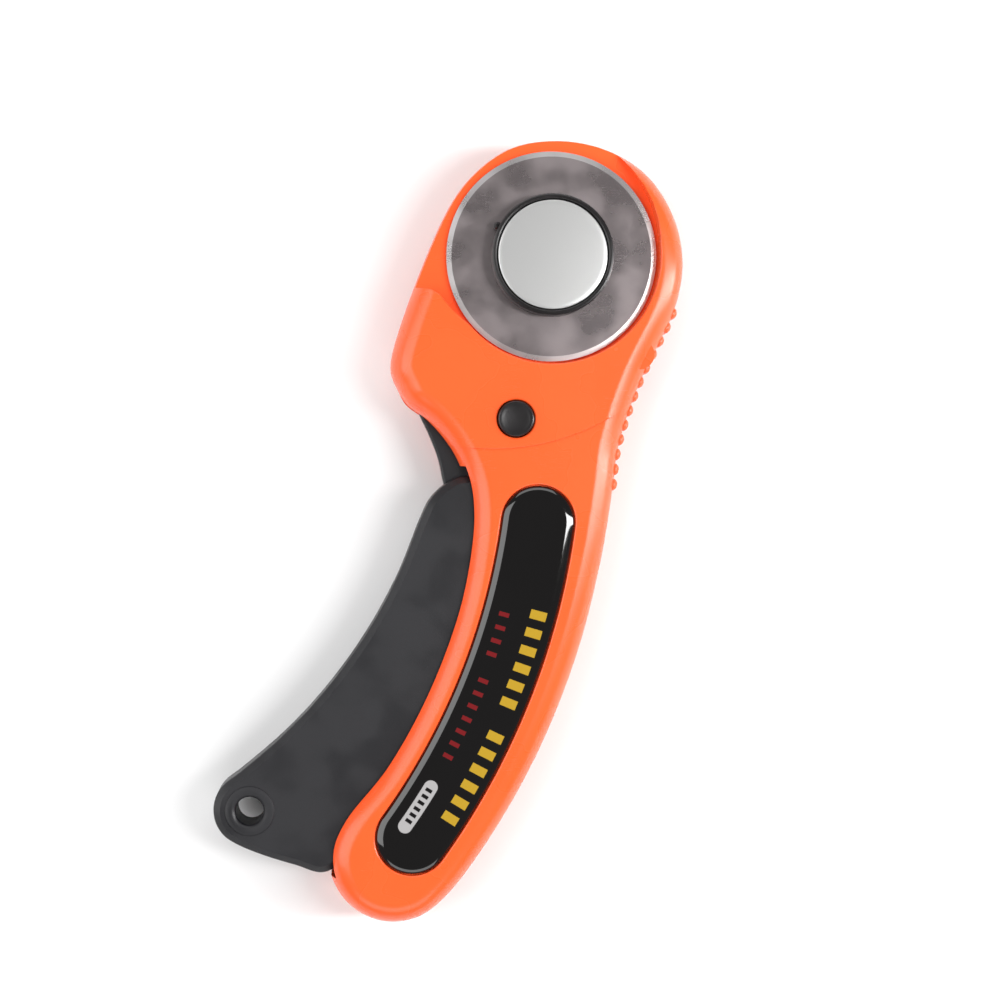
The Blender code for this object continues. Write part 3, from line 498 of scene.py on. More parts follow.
class Effects:
    """The shader groups that the finishes share, each built once."""

    @staticmethod
    def made_once(name: str, build: Callable[[], Tree]) -> bpy.types.NodeTree:
        """Gives a group by name, and builds it the first time."""
        return bpy.data.node_groups.get(name) or build().tree

    @classmethod
    def mould_grain(cls) -> bpy.types.NodeTree:
        """The fine spark-eroded texture of a mould: its height, and a slow drift over the piece."""

        def build() -> Tree:
            inputs = {"Vector": (VECTOR, None), "Size": (FLOAT, 0.2), "Drift Size": (FLOAT, 14.0)}
            tree = new_group("mould_grain", "ShaderNodeTree", inputs, {"Height": FLOAT, "Drift": FLOAT})
            given, result = tree.given, tree.result
            fine = tree.math("DIVIDE", 1000.0, given["Size"])
            pits = tree.add("ShaderNodeTexNoise", {"Vector": given["Vector"], "Scale": fine, "Detail": 3.0})
            cells = tree.add("ShaderNodeTexVoronoi", {"Vector": given["Vector"], "Scale": fine})
            height = tree.math("ADD", pits.outputs[0], tree.math("MULTIPLY", cells.outputs[0], 0.5))
            slow = tree.math("DIVIDE", 1000.0, given["Drift Size"])
            drift = tree.add("ShaderNodeTexNoise", {"Vector": given["Vector"], "Scale": slow, "Detail": 2.0})
            tree.send(height, result["Height"])
            tree.send(drift.outputs[0], result["Drift"])
            return tree

        return cls.made_once("mould_grain", build)

    @classmethod
    def handling_marks(cls) -> bpy.types.NodeTree:
        """Hair-thin scuffs in two directions, as a mask."""

        def build() -> Tree:
            inputs = {"Vector": (VECTOR, None), "Length": (FLOAT, 6.0), "Amount": (FLOAT, 0.3)}
            tree = new_group("handling_marks", "ShaderNodeTree", inputs, {"Mask": FLOAT})
            given, result = tree.given, tree.result
            scale = tree.math("DIVIDE", 1000.0, given["Length"])
            lines, hair = [], 0.006
            for turn, stretch in ((0.6, 22.0), (2.3, 30.0)):
                values = {"Vector": given["Vector"], "Rotation": (0.0, 0.0, turn)}
                place = tree.add("ShaderNodeMapping", values | {"Scale": (1.0, stretch, 1.0)})
                values = {"Vector": place.outputs[0], "Scale": scale, "Detail": 1.0}
                noise = tree.add("ShaderNodeTexNoise", values)
                away = tree.math("ABSOLUTE", tree.math("SUBTRACT", noise.outputs[0], 0.5))
                lines.append(tree.spread(away, 0.0, hair, 1.0, 0.0))
            values = {"Vector": given["Vector"], "Scale": scale, "Detail": 1.0}
            patches = tree.add("ShaderNodeTexNoise", values)
            where = tree.spread(patches.outputs[0], 0.5, 0.7, 0.0, 1.0)
            both = tree.math("MULTIPLY", tree.math("MAXIMUM", *lines), where)
            tree.send(tree.math("MULTIPLY", both, given["Amount"]), result["Mask"])
            return tree

        return cls.made_once("handling_marks", build)

    @classmethod
    def turning_lines(cls) -> bpy.types.NodeTree:
        """The marks of turning or grinding about an upright axis: rings, and rays across them."""

        def build() -> Tree:
            inputs = {"Vector": (VECTOR, None), "Pitch": (FLOAT, 0.12)}
            outputs = {"Rings": FLOAT, "Rays": FLOAT, "Radius": FLOAT}
            tree = new_group("turning_lines", "ShaderNodeTree", inputs, outputs)
            given, result = tree.given, tree.result
            parts = tree.add("ShaderNodeSeparateXYZ", {0: given["Vector"]})
            x, y = parts.outputs[0], parts.outputs[1]
            in_mm = tree.math("MULTIPLY", tree.length(x, y), PER_METRE)
            turn = tree.math("ARCTAN2", y, x)
            steps = tree.math("DIVIDE", in_mm, given["Pitch"])
            values = {"W": steps, "Scale": 1.0, "Detail": 2.0}
            rings = tree.add("ShaderNodeTexNoise", values, noise_dimensions="1D")
            values = {0: tree.math("COSINE", turn), 1: tree.math("SINE", turn)}
            spokes = tree.add("ShaderNodeCombineXYZ", values)
            values = {"Vector": spokes.outputs[0], "Scale": 240.0, "Detail": 2.0}
            rays = tree.add("ShaderNodeTexNoise", values)
            tree.send(rings.outputs[0], result["Rings"])
            tree.send(rays.outputs[0], result["Rays"])
            tree.send(in_mm, result["Radius"])
            return tree

        return cls.made_once("turning_lines", build)


    @classmethod
    def arc_place(cls) -> bpy.types.NodeTree:
        """The place along an arc and inside it, in millimetres."""

        def build() -> Tree:
            inputs = {"Vector": (VECTOR, None), "Centre X": (FLOAT, 0.0), "Centre Y": (FLOAT, 0.0)}
            inputs["Bend"] = (FLOAT, 1.0)
            tree = new_group("arc_place", "ShaderNodeTree", inputs, {"Along": FLOAT, "Side": FLOAT})
            given, result = tree.given, tree.result
            parts = tree.add("ShaderNodeSeparateXYZ", {0: given["Vector"]})
            back_x, back_y = (tree.math("MULTIPLY", given[key], -1.0) for key in ("Centre X", "Centre Y"))
            x = tree.math("MULTIPLY_ADD", parts.outputs[0], PER_METRE, back_x)
            y = tree.math("MULTIPLY_ADD", parts.outputs[1], PER_METRE, back_y)
            turn = tree.math("ARCTAN2", y, x)
            along = tree.math("MULTIPLY", tree.math("MULTIPLY", turn, -1.0), given["Bend"])
            tree.send(along, result["Along"])
            tree.send(tree.math("SUBTRACT", given["Bend"], tree.length(x, y)), result["Side"])
            return tree

        return cls.made_once("arc_place", build)

    @classmethod
    def tick_row(cls) -> bpy.types.NodeTree:
        """A printed row of ticks, as a mask."""

        def build() -> Tree:
            names = ("Along", "Across", "First", "Pitch", "Count", "Middle", "Height", "Fill")
            inputs = {key: (FLOAT, 1.0) for key in names}
            tree = new_group("tick_row", "ShaderNodeTree", inputs, {"Mask": FLOAT})
            given, result = tree.given, tree.result
            steps = tree.math("DIVIDE", tree.math("SUBTRACT", given["Along"], given["First"]), given["Pitch"])
            off = tree.math("ABSOLUTE", tree.math("SUBTRACT", tree.math("FRACT", steps), 0.5))
            half = tree.math("MULTIPLY", given["Fill"], 0.5)
            past = tree.math("MULTIPLY", tree.math("SUBTRACT", off, half), given["Pitch"])
            blur = 0.06
            tick = tree.spread(past, -blur, blur, 1.0, 0.0)
            across = tree.math("ABSOLUTE", tree.math("SUBTRACT", given["Across"], given["Middle"]))
            over = tree.math("SUBTRACT", across, tree.math("MULTIPLY", given["Height"], 0.5))
            row = tree.spread(over, -blur, blur, 1.0, 0.0)
            begun = tree.math("GREATER_THAN", steps, 0.0)
            still = tree.math("LESS_THAN", steps, given["Count"])
            inside = tree.math("MULTIPLY", begun, still)
            tree.send(tree.math("MULTIPLY", tree.math("MULTIPLY", tick, row), inside), result["Mask"])
            return tree

        return cls.made_once("tick_row", build)


# ---------------------------------------------------------------- finishes


class Body(Enum):
    """The moving bodies of the working model."""

    BODY = "body"
    LEVER = "lever"
    BLADE = "blade"
    WASHER = "washer"
    NUT = "nut"
    LOCK = "lock"


@dataclass(frozen=True)
class TickRow:
    """A printed row of ticks, in the along and across of its curve or line.

    Attributes:
        first: Where it starts along its line, in millimetres.
        pitch: The distance from tick to tick.
        count: The number of ticks.
        middle: The row's place across its line.
        height: The ticks' length across it.
        fill: How much of the pitch a tick takes.
    """

    first: float
    pitch: float
    count: int
    middle: float
    height: float
    fill: float

    def mask(self, tree: Tree, along: Socket, across: Socket) -> Socket:
        """Adds the row's mask to a material.

        Args:
            tree: The material's tree.
            along: The place along the line, in millimetres.
            across: The place across it.

        Returns:
            The mask.
        """
        sizes = {"First": self.first, "Pitch": self.pitch, "Count": float(self.count), "Middle": self.middle}
        sizes |= {"Height": self.height, "Fill": self.fill, "Along": along, "Across": across}
        return tree.group(Effects.tick_row(), sizes).outputs["Mask"]


def started(name: str) -> tuple[bpy.types.Material, Tree, bpy.types.Node, Socket]:
    """Starts a material.

    Args:
        name: Its name.

    Returns:
        The material, its tree, its shader, and the object coordinates.
    """
    material = bpy.data.materials.new(name)
    material.use_nodes = True
    tree = Tree(material.node_tree)
    place = tree.add("ShaderNodeTexCoord").outputs["Object"]
    return material, tree, tree.tree.nodes["Principled BSDF"], place


def solid(colour: Colour, strength: float = 1.0) -> tuple[float, float, float, float]:
    """Gives a colour, made lighter or darker, as a socket takes it."""
    return (*(min(1.0, channel * strength) for channel in colour), 1.0)


@dataclass(frozen=True)
class Plastic:
    """A moulded plastic.

    Attributes:
        name: The material's name.
        colour: Its linear colour.
        roughness: Its roughness.
        grain: The size of the mould's texture, in millimetres.
        relief: The texture's height, in millimetres.
        drift: How much its colour and roughness drift over the piece.
        scuffs: How much handling has dulled its gloss.
        coat: The weight of a clear gloss on top.
    """

    name: str
    colour: Colour
    roughness: float
    grain: float = 0.2
    relief: float = 0.004
    drift: float = 0.06
    scuffs: float = 0.1
    coat: float = 0.0

    def printed(self, tree: Tree, place: Socket, colour: Socket) -> Socket:
        """Adds what is printed on the plastic, which is nothing on a plain one."""
        return colour

    def material(self) -> bpy.types.Material:
        """Builds the material, or gives one of its name that is there.

        Returns:
            The material.
        """
        found = bpy.data.materials.get(self.name)
        if found:
            return found
        material, tree, shader, place = started(self.name)
        grain = tree.group(Effects.mould_grain(), {"Vector": place, "Size": self.grain})
        marks = tree.group(Effects.handling_marks(), {"Vector": place, "Amount": self.scuffs})
        share = tree.spread(grain.outputs["Drift"], 0.35, 0.65, 0.0, 1.0)
        colour = tree.blend(share, solid(self.colour, 1 - self.drift), solid(self.colour, 1 + self.drift))
        tree.send(self.printed(tree, place, colour), shader.inputs["Base Color"])
        low, high = self.roughness * (1 - self.drift * 1.5), self.roughness * (1 + self.drift * 1.5)
        rough = tree.spread(share, 0.0, 1.0, low, high)
        tree.send(tree.math("ADD", rough, marks.outputs["Mask"], clamp=True), shader.inputs["Roughness"])
        bump = tree.add("ShaderNodeBump", {"Height": grain.outputs["Height"], "Distance": self.relief * MM})
        tree.send(bump.outputs[0], shader.inputs["Normal"])
        shader.inputs["Coat Weight"].default_value = self.coat
        shader.inputs["Coat Roughness"].default_value = 0.05
        return material


@dataclass(frozen=True)
class PrintedInlay(Plastic):
    """The glossy inlay, with two rows of ticks and a white tag printed along its curve."""

    amber: Colour = (0.42, 0.26, 0.018)
    red: Colour = (0.16, 0.006, 0.008)
    white: Colour = (0.36, 0.35, 0.35)
    centre: Pair = (-151.0, -37.0)
    bend: float = 150.0
    amber_rows: tuple[TickRow, ...] = (
        TickRow(37.5, 3.85, 6, -3.2, 3.5, 0.5), TickRow(64.4, 3.85, 6, -3.5, 3.5, 0.5)
    )
    red_rows: tuple[TickRow, ...] = (
        TickRow(39.6, 3.03, 4, 3.9, 2.2, 0.32), TickRow(54.8, 3.03, 7, 3.6, 2.2, 0.32)
    )
    tag: TickRow = TickRow(82.2, 1.6, 6, 3.5, 1.5, 0.5)
    tag_half: float = 1.5
    tag_margin: float = 0.3

    def printed(self, tree: Tree, place: Socket, colour: Socket) -> Socket:
        """Adds the rows and the tag."""
        values = {"Vector": place, "Centre X": self.centre[0], "Centre Y": self.centre[1], "Bend": self.bend}
        arc_place = tree.group(Effects.arc_place(), values)
        along, side = arc_place.outputs["Along"], arc_place.outputs["Side"]
        for rows, ink in ((self.amber_rows, self.amber), (self.red_rows, self.red)):
            for row in rows:
                colour = tree.blend(row.mask(tree, along, side), colour, solid(ink))
        half = self.tag.pitch * self.tag.count / 2 + self.tag_margin
        away = tree.math("ABSOLUTE", tree.math("SUBTRACT", along, self.tag.first + half))
        beyond = tree.math("MAXIMUM", tree.math("SUBTRACT", away, half), 0.0)
        off = tree.math("SUBTRACT", side, self.tag.middle)
        colour = tree.blend(tree.band(tree.length(beyond, off), self.tag_half), colour, solid(self.white))
        return tree.blend(self.tag.mask(tree, along, side), colour, solid(self.colour))


@dataclass(frozen=True)
class PrintedLabel(Plastic):
    """The silver disc: a dark slanting band with light ticks, an arc of dark ticks and a plain orange ring.

    It isn't shown: the working model's material has the same name, and material() gives that one.
    """

    ink: Colour = (0.008, 0.008, 0.008)
    light: Colour = (0.5, 0.5, 0.5)
    mark: Colour = (0.36, 0.045, 0.003)
    slant: float = 34.3
    band_near: float = 2.9
    band_far: float = 7.8
    band_ticks: TickRow = TickRow(-6.9, 1.45, 9, -5.4, 2.8, 0.45)
    arc_radius: float = 9.55
    arc_ticks: tuple[TickRow, ...] = (
        TickRow(-22.7, 2.2, 5, 0.0, 1.9, 0.42), TickRow(-7.9, 2.2, 6, 0.0, 1.9, 0.42)
    )
    mark_place: Pair = (2.2, 2.6)
    mark_size: Pair = (1.1, 2.7)

    def printed(self, tree: Tree, place: Socket, colour: Socket) -> Socket:
        """Adds the band, the ticks and the mark."""
        turn = (0.0, 0.0, math.radians(self.slant))
        size = (PER_METRE, PER_METRE, PER_METRE)
        slanted = tree.add("ShaderNodeMapping", {"Vector": place, "Rotation": turn, "Scale": size})
        parts = tree.add("ShaderNodeSeparateXYZ", {0: slanted.outputs[0]})
        along, up = parts.outputs[0], parts.outputs[1]
        below, above = tree.band(up, -self.band_near), tree.band(up, -self.band_far, 1.0)
        colour = tree.blend(tree.math("MULTIPLY", below, above), colour, solid(self.ink))
        colour = tree.blend(self.band_ticks.mask(tree, along, up), colour, solid(self.light))
        values = {"Vector": place, "Centre X": 0.0, "Centre Y": 0.0, "Bend": self.arc_radius}
        ring = tree.group(Effects.arc_place(), values)
        for row in self.arc_ticks:
            mask = row.mask(tree, ring.outputs["Along"], ring.outputs["Side"])
            colour = tree.blend(mask, colour, solid(self.ink))
        values |= {"Centre X": self.mark_place[0], "Centre Y": self.mark_place[1], "Bend": 0.0}
        away = tree.math("MULTIPLY", tree.group(Effects.arc_place(), values).outputs["Side"], -1.0)
        inner, outer = self.mark_size
        ring_mask = tree.math("MULTIPLY", tree.band(away, outer), tree.band(away, inner, 1.0))
        return tree.blend(ring_mask, colour, solid(self.mark))


@dataclass(frozen=True)
class Metal:
    """A turned, ground or plated metal.

    Attributes:
        name: The material's name.
        colour: Its linear colour.
        roughness: Its roughness.
        pitch: The spacing of its turning marks, in millimetres.
        relief: The marks' height, in millimetres.
        stain: How much its colour clouds over.
        ground_from: The radius past which it is a bright ground edge, or nothing.
        ground: The ground edge's colour.
    """

    name: str
    colour: Colour
    roughness: float
    pitch: float = 0.12
    relief: float = 0.0015
    stain: float = 0.1
    ground_from: float = 1000.0
    ground: Colour = (0.8, 0.76, 0.76)

    def material(self) -> bpy.types.Material:
        """Builds the material, or gives one of its name that is there.

        Returns:
            The material.
        """
        found = bpy.data.materials.get(self.name)
        if found:
            return found
        material, tree, shader, place = started(self.name)
        lines = tree.group(Effects.turning_lines(), {"Vector": place, "Pitch": self.pitch})
        marks = tree.group(Effects.handling_marks(), {"Vector": place, "Amount": 0.25})
        ground = tree.math("GREATER_THAN", lines.outputs["Radius"], self.ground_from)
        cloud = tree.add("ShaderNodeTexNoise", {"Vector": place, "Scale": 110.0, "Detail": 4.0}).outputs[0]
        share = tree.spread(cloud, 0.35, 0.65, 0.0, 1.0)
        stained = tree.blend(share, solid(self.colour, 1 - self.stain), solid(self.colour, 1 + self.stain))
        tree.send(tree.blend(ground, stained, solid(self.ground)), shader.inputs["Base Color"])
        rough = tree.spread(cloud, 0.3, 0.7, self.roughness * 0.85, self.roughness * 1.15)
        tree.send(tree.math("ADD", rough, marks.outputs["Mask"], clamp=True), shader.inputs["Roughness"])
        shader.inputs["Metallic"].default_value = 1.0
        rings = tree.math("MULTIPLY", lines.outputs["Rings"], tree.math("SUBTRACT", 1.0, ground))
        height = tree.math("ADD", rings, tree.math("MULTIPLY", lines.outputs["Rays"], ground))
        bump = tree.add("ShaderNodeBump", {"Height": height, "Distance": self.relief * MM})
        tree.send(bump.outputs[0], shader.inputs["Normal"])
        return material


class Finish(Enum):
    """The finishes of the cutter."""

    ORANGE = Plastic("orange_body_plastic", (0.97, 0.105, 0.02), 0.27, grain=0.35, relief=0.001, drift=0.02)
    LEVER = Plastic("matte_black_lever", (0.0062, 0.006, 0.0082), 0.5, grain=0.28, relief=0.01, drift=0.12)
    TRIM = Plastic("satin_black_trim", (0.0065, 0.005, 0.0055), 0.32, grain=0.3, relief=0.003, drift=0.1)
    INLAY = PrintedInlay(
        "gloss_black_inlay", (0.002, 0.0015, 0.0015), 0.06, 2.5, 0.0006, scuffs=0.02, coat=0.5
    )
    LABEL = PrintedLabel("silver_label", (0.47, 0.47, 0.465), 0.28, 0.12, 0.002, scuffs=0.04, coat=0.4)
    BLADE = Metal("dark_blade_steel", (0.4, 0.35, 0.355), 0.3, ground_from=21.4)
    STEEL = Metal("plated_steel", (0.55, 0.55, 0.56), 0.3)
    SCREW = Metal("zinc_screws", (0.42, 0.42, 0.44), 0.38)
    SPRING = Metal("spring_wire", (0.5, 0.5, 0.52), 0.28)
    BRASS = Metal("turned_brass", (0.72, 0.47, 0.18), 0.3)


def placed(item: Item, finish: Finish, body: Body, slot: str, *nodes: str) -> Item:
    """Dresses a finished piece and hangs it on its body.

    Args:
        item: The piece.
        finish: Its finish.
        body: The body that it rides on.
        slot: The record's material slot; not used.
        *nodes: The nodes of the working model that it stands for.

    Returns:
        The piece.
    """
    item.data.materials.clear()
    item.data.materials.append(finish.value.material())
    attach(item, body.value)
    if nodes:
        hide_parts(*nodes)
    LOG.info("%s: %d faces, on %s", item.name, len(item.data.polygons), body.value)
    return item


def dress(node: str, finish: Finish) -> None:
    """Gives a node of the working model, which is shown as it is, its finish."""
    item = frame["nodes"][node]
    item.data.materials.clear()
    item.data.materials.append(finish.value.material())
    LOG.info("%s: the working model's own, with a new finish", node)


# ---------------------------------------------------------------- repeated features


class Grown:
    """The geometry node groups, and how a piece is grown from one."""

    @staticmethod
    def start(name: str, inputs: dict[str, tuple[str, object]]) -> Tree:
        """Starts a group that takes a shape, its own inputs and a material, and gives a shape."""
        every = {"Geometry": (GEOMETRY, None)} | inputs | MATERIAL_INPUT
        return new_group(name, "GeometryNodeTree", every, {"Geometry": GEOMETRY})

    @staticmethod
    def finish(tree: Tree, shape: Socket) -> Tree:
        """Ends a group: real geometry, with the material."""
        real = tree.add("GeometryNodeRealizeInstances", {0: shape}).outputs[0]
        values = {"Geometry": real, "Material": tree.given["Material"]}
        tree.send(tree.add("GeometryNodeSetMaterial", values).outputs[0], tree.result["Geometry"])
        return tree

    @classmethod
    def row_along_path(cls) -> bpy.types.NodeTree:
        """A form repeated at even spaces along a path, and turned with it."""
        tree = cls.start("row_along_path", {"Form": (OBJECT, None), "Count": (INTEGER, 13)})
        given = tree.given
        curve = tree.add("GeometryNodeMeshToCurve", {"Mesh": given["Geometry"]}).outputs[0]
        values = {"Curve": curve, "Count": given["Count"]}
        spaced = tree.add("GeometryNodeCurveToPoints", values, mode="COUNT")
        way = {"Vector": spaced.outputs["Tangent"]}
        turn = tree.add("FunctionNodeAlignRotationToVector", way, axis="X", pivot_axis="Z").outputs[0]
        form = tree.add("GeometryNodeObjectInfo", {"Object": given["Form"]}).outputs["Geometry"]
        placed_forms = {"Points": spaced.outputs["Points"], "Instance": form, "Rotation": turn}
        return cls.finish(tree, tree.add("GeometryNodeInstanceOnPoints", placed_forms).outputs[0]).tree

    @classmethod
    def forms_at_points(cls) -> bpy.types.NodeTree:
        """A form at each point of a mesh, each turned by its own amount."""
        tree = cls.start("forms_at_points", {"Form": (OBJECT, None), "Seed": (INTEGER, 4)})
        given = tree.given
        points = tree.add("GeometryNodeMeshToPoints", {"Mesh": given["Geometry"]}).outputs[0]
        amount = tree.add("FunctionNodeRandomValue", {"Min": 0.0, "Max": math.pi / 2, "Seed": given["Seed"]})
        euler = tree.add("ShaderNodeCombineXYZ", {2: amount.outputs["Value"]}).outputs[0]
        turn = tree.add("FunctionNodeEulerToRotation", {0: euler}).outputs[0]
        form = tree.add("GeometryNodeObjectInfo", {"Object": given["Form"]}).outputs["Geometry"]
        placed_forms = {"Points": points, "Instance": form, "Rotation": turn}
        return cls.finish(tree, tree.add("GeometryNodeInstanceOnPoints", placed_forms).outputs[0]).tree

    @classmethod
    def coil(cls) -> bpy.types.NodeTree:
        """A compression spring that stands on the origin, its end turns closer together."""
        sizes = {"Coil Radius": 3.6, "Wire Radius": 0.45, "Turns": 7.0, "Length": 17.0, "Closing": 0.25}
        tree = cls.start("coil", {key: (FLOAT, value) for key, value in sizes.items()})
        given = tree.given
        radius, length = given["Coil Radius"], given["Length"]
        values = {"Resolution": 40, "Rotations": given["Turns"], "Start Radius": radius, "End Radius": radius}
        spiral = tree.add("GeometryNodeCurveSpiral", values | {"Height": length}).outputs[0]
        share = tree.add("GeometryNodeSplineParameter").outputs["Factor"]
        closed = tree.spread(share, 0.0, 1.0, 0.0, 1.0)
        lag = tree.math("MULTIPLY", tree.math("SUBTRACT", closed, share), given["Closing"])
        shift = tree.add("ShaderNodeCombineXYZ", {2: tree.math("MULTIPLY", lag, length)}).outputs[0]
        moved = tree.add("GeometryNodeSetPosition", {"Geometry": spiral, "Offset": shift}).outputs[0]
        wire = {"Resolution": 14, "Radius": given["Wire Radius"]}
        section = tree.add("GeometryNodeCurvePrimitiveCircle", wire).outputs[0]
        values = {"Curve": moved, "Profile Curve": section, "Fill Caps": True}
        return cls.finish(tree, tree.add("GeometryNodeCurveToMesh", values).outputs[0]).tree

    @staticmethod
    def on(item: Item, group: bpy.types.NodeTree, finish: Finish, **inputs: object) -> Item:
        """Grows a piece from a start shape.

        Args:
            item: The start shape.
            group: The node group.
            finish: The piece's finish.
            **inputs: The group's inputs, with _ for a space.

        Returns:
            The same object, with the plain mesh that grew.
        """
        modifier = item.modifiers.new(group.name, "NODES")
        modifier.node_group = group
        values = {"Material": finish.value.material()} | {k.replace("_", " "): v for k, v in inputs.items()}
        for socket in group.interface.items_tree:
            if socket.in_out == "INPUT" and socket.name in values:
                modifier[socket.identifier] = values[socket.name]
        return baked(item)


# ---------------------------------------------------------------- the design


def edge(node: str, axis: int, side: int) -> float:
    """Reads where a node of the working model ends.

    Args:
        node: The node.
        axis: 0, 1 or 2.
        side: 0 for its low end, 1 for its high end.

    Returns:
        The place, in millimetres.
    """
    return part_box(node)[side][axis] / MM


def middle(node: str) -> Pair:
    """Reads a node's centre, seen from the blade's side."""
    return tuple((edge(node, axis, 0) + edge(node, axis, 1)) / 2 for axis in (0, 1))


@dataclass(frozen=True)
class Levels:
    """Heights above the surface under the cutter, read from the working model."""

    handle_back: float = edge("rear_shell", 2, 0)
    head_back: float = edge("spring_washer", 2, 0)
    seam: float = (edge("rear_shell", 2, 1) + edge("front_shell", 2, 0)) / 2
    arm_back: float = edge("pivot_bush", 2, 0)
    arm_front: float = edge("pivot_bush", 2, 1)
    guard_front: float = edge("blade", 2, 0) - 0.6
    blade_back: float = edge("blade", 2, 0)
    blade_front: float = edge("blade", 2, 1)
    head_front: float = edge("front_shell", 2, 1)
    handle_front: float = edge("front_inlay", 2, 1) - 0.4
    inlay_top: float = edge("front_inlay", 2, 1)
    cap_top: float = edge("blade_knob", 2, 1)
    label_top: float = edge("knob_label", 2, 1)
    grip_back: float = edge("trigger_lever", 2, 0) + 0.3
    grip_front: float = edge("trigger_lever", 2, 1) - 0.3


@dataclass(frozen=True)
class Planform:
    """The outlines that the pieces share, seen from the blade's side."""

    blade_radius: float = edge("blade", 0, 1)
    pivot: Pair = middle("pivot_pin")
    lock: Pair = middle("lock_button")
    squeeze: float = next(j["range_deg"][1] for j in frame["joints"] if j["name"] == "squeeze")
    head_centre: Pair = (1.5, -2.0)
    head_margin: float = 4.7
    lobe_radius: float = 8.3
    bend_centre: Pair = (-151.0, -37.0)
    bend: float = 150.0
    length: float = 100.0
    half: float = 14.0
    end_shift: float = 0.9
    step_centre: Pair = (-12.5, 7.6)
    step_radius: float = 49.0
    hub_radius: float = 5.3
    eye_radius: float = 8.0
    boss_radius: float = 6.5
    grip_top: float = 22.0
    grip_reach: float = 25.2
    grip_flare: float = 0.15
    grip_inner: float = 7.5
    grip_below: float = 4.5
    hook_lobe: float = 7.9
    inlay_top: float = 20.0
    inlay_end: float = 93.7
    inlay_shift: float = 0.7
    inlay_half: float = 7.65

    def along(self, distance: float, side: float = 0.0) -> np.ndarray:
        """Gives a point by its distance down the handle, and to the lever's side of its centre line."""
        return polar(self.bend_centre, self.bend - side, -math.degrees(distance / self.bend))

    @property
    def hook(self) -> np.ndarray:
        """The centre of the hook hole."""
        return self.along(self.length + 13.9, 31.0)

    @property
    def lever_reach(self) -> float:
        """The distance from the pivot to the grip's lower edge."""
        return float(np.linalg.norm(self.along(self.length) - self.pivot)) + self.grip_below

    def turned(self, point: Sequence[float], degrees: float) -> np.ndarray:
        """Turns a point about the pivot."""
        away = np.array(point) - self.pivot
        turn = math.degrees(math.atan2(away[1], away[0])) + degrees
        return polar(self.pivot, float(np.linalg.norm(away)), turn)

    def body(self) -> np.ndarray:
        """The outline of both shells: head, neck, handle with a round end, and the pivot's lobe."""
        head, centre = self.blade_radius + self.head_margin, self.head_centre
        right = ((100, -0.8), (84, -0.3), (64, -0.1), (44, 0.1), (26, 0.4), (17, 0.7), (10, 1.1), (4, 1.6))
        left = ((5, 6.2), (12.7, 2.8), (20, 1.3), (28, 0.6), (43, 0.0), (64, 0.0), (84, 0.2), (100, 1.0))
        flare = (-0.3, -0.1, 0.1, 0.4, 0.1, 0.0, 0.3, -0.3, -0.5)
        end_turn = math.degrees(self.length / self.bend)
        points = [self.along(s, -self.half - extra) for s, extra in right]
        points.append(polar(centre, head + 3.6, -55.0))
        points += [polar(centre, head + extra, -18.0 + 173.0 * i / 8) for i, extra in enumerate(flare)]
        points += arc(self.pivot, self.lobe_radius, 170.0, 220.0, 3)
        points += [polar(self.pivot, self.lobe_radius + 1.3, 238.0), self.along(-2.9, self.half + 11.9)]
        points += [self.along(s, self.half + extra) for s, extra in left]
        end = self.along(self.length, self.end_shift)
        points += arc(end, self.half, 210.0 - end_turn, 330.0 - end_turn, 5)
        return even_loop(smooth_loop(points), 0.8, 5)

    def slot(self, start: Sequence[float], sweep: float, half: float, steps: int = 48) -> np.ndarray:
        """Gives a round-ended slot that follows an arc about the pivot.

        Args:
            start: The centre of its first end.
            sweep: How far it turns, in degrees.
            half: Half its width.
            steps: The points on each end.

        Returns:
            The loop.
        """
        away = np.array(start) - self.pivot
        radius = float(np.linalg.norm(away))
        first = math.degrees(math.atan2(away[1], away[0])) + min(sweep, 0.0)
        last = first + abs(sweep)
        loop = arc(self.pivot, radius + half, first, last, 12)[1:-1]
        loop += arc(polar(self.pivot, radius, last), half, last, last + 180.0, steps)
        loop += arc(self.pivot, radius - half, last, first, 12)[1:-1]
        loop += arc(polar(self.pivot, radius, first), half, first + 180.0, first + 360.0, steps)
        return np.array(loop)

    def inlay(self, extra: float = 0.0) -> np.ndarray:
        """The curved stadium of the inlay, with extra room round it for its recess."""
        half = self.inlay_half + extra
        side = np.linspace(self.inlay_top, self.inlay_end, 60)[1:-1]
        top, end = (-math.degrees(s / self.bend) for s in (self.inlay_top, self.inlay_end))
        loop = arc(self.along(self.inlay_top, self.inlay_shift), half, top, top + 180.0, 40)
        loop += [self.along(s, self.inlay_shift + half) for s in side]
        loop += arc(self.along(self.inlay_end, self.inlay_shift), half, end + 180.0, end + 360.0, 40)
        loop += [self.along(s, self.inlay_shift - half) for s in side[::-1]]
        return np.array(loop)

    def guard(self) -> np.ndarray:
        """The part of the head where the front shell is only a thin guard behind the blade."""
        radius, axis = self.blade_radius, (0.0, 0.0)
        rim = ((0.0, 0.5), (10.0, 0.85), (19.0, 1.25), (28.0, 1.7), (37.0, 2.1), (47.0, 2.6), (57.0, 3.6))
        far = ((60.0, 12.0), (100.0, 15.0), (140.0, 15.0), (180.0, 15.0))
        end = ((191.0, 9.5), (196.0, 4.3), (203.5, 1.4))
        edge_points = [polar(axis, radius + extra, angle) for angle, extra in rim + far + end]
        return np.array(edge_points + [np.zeros(2)])

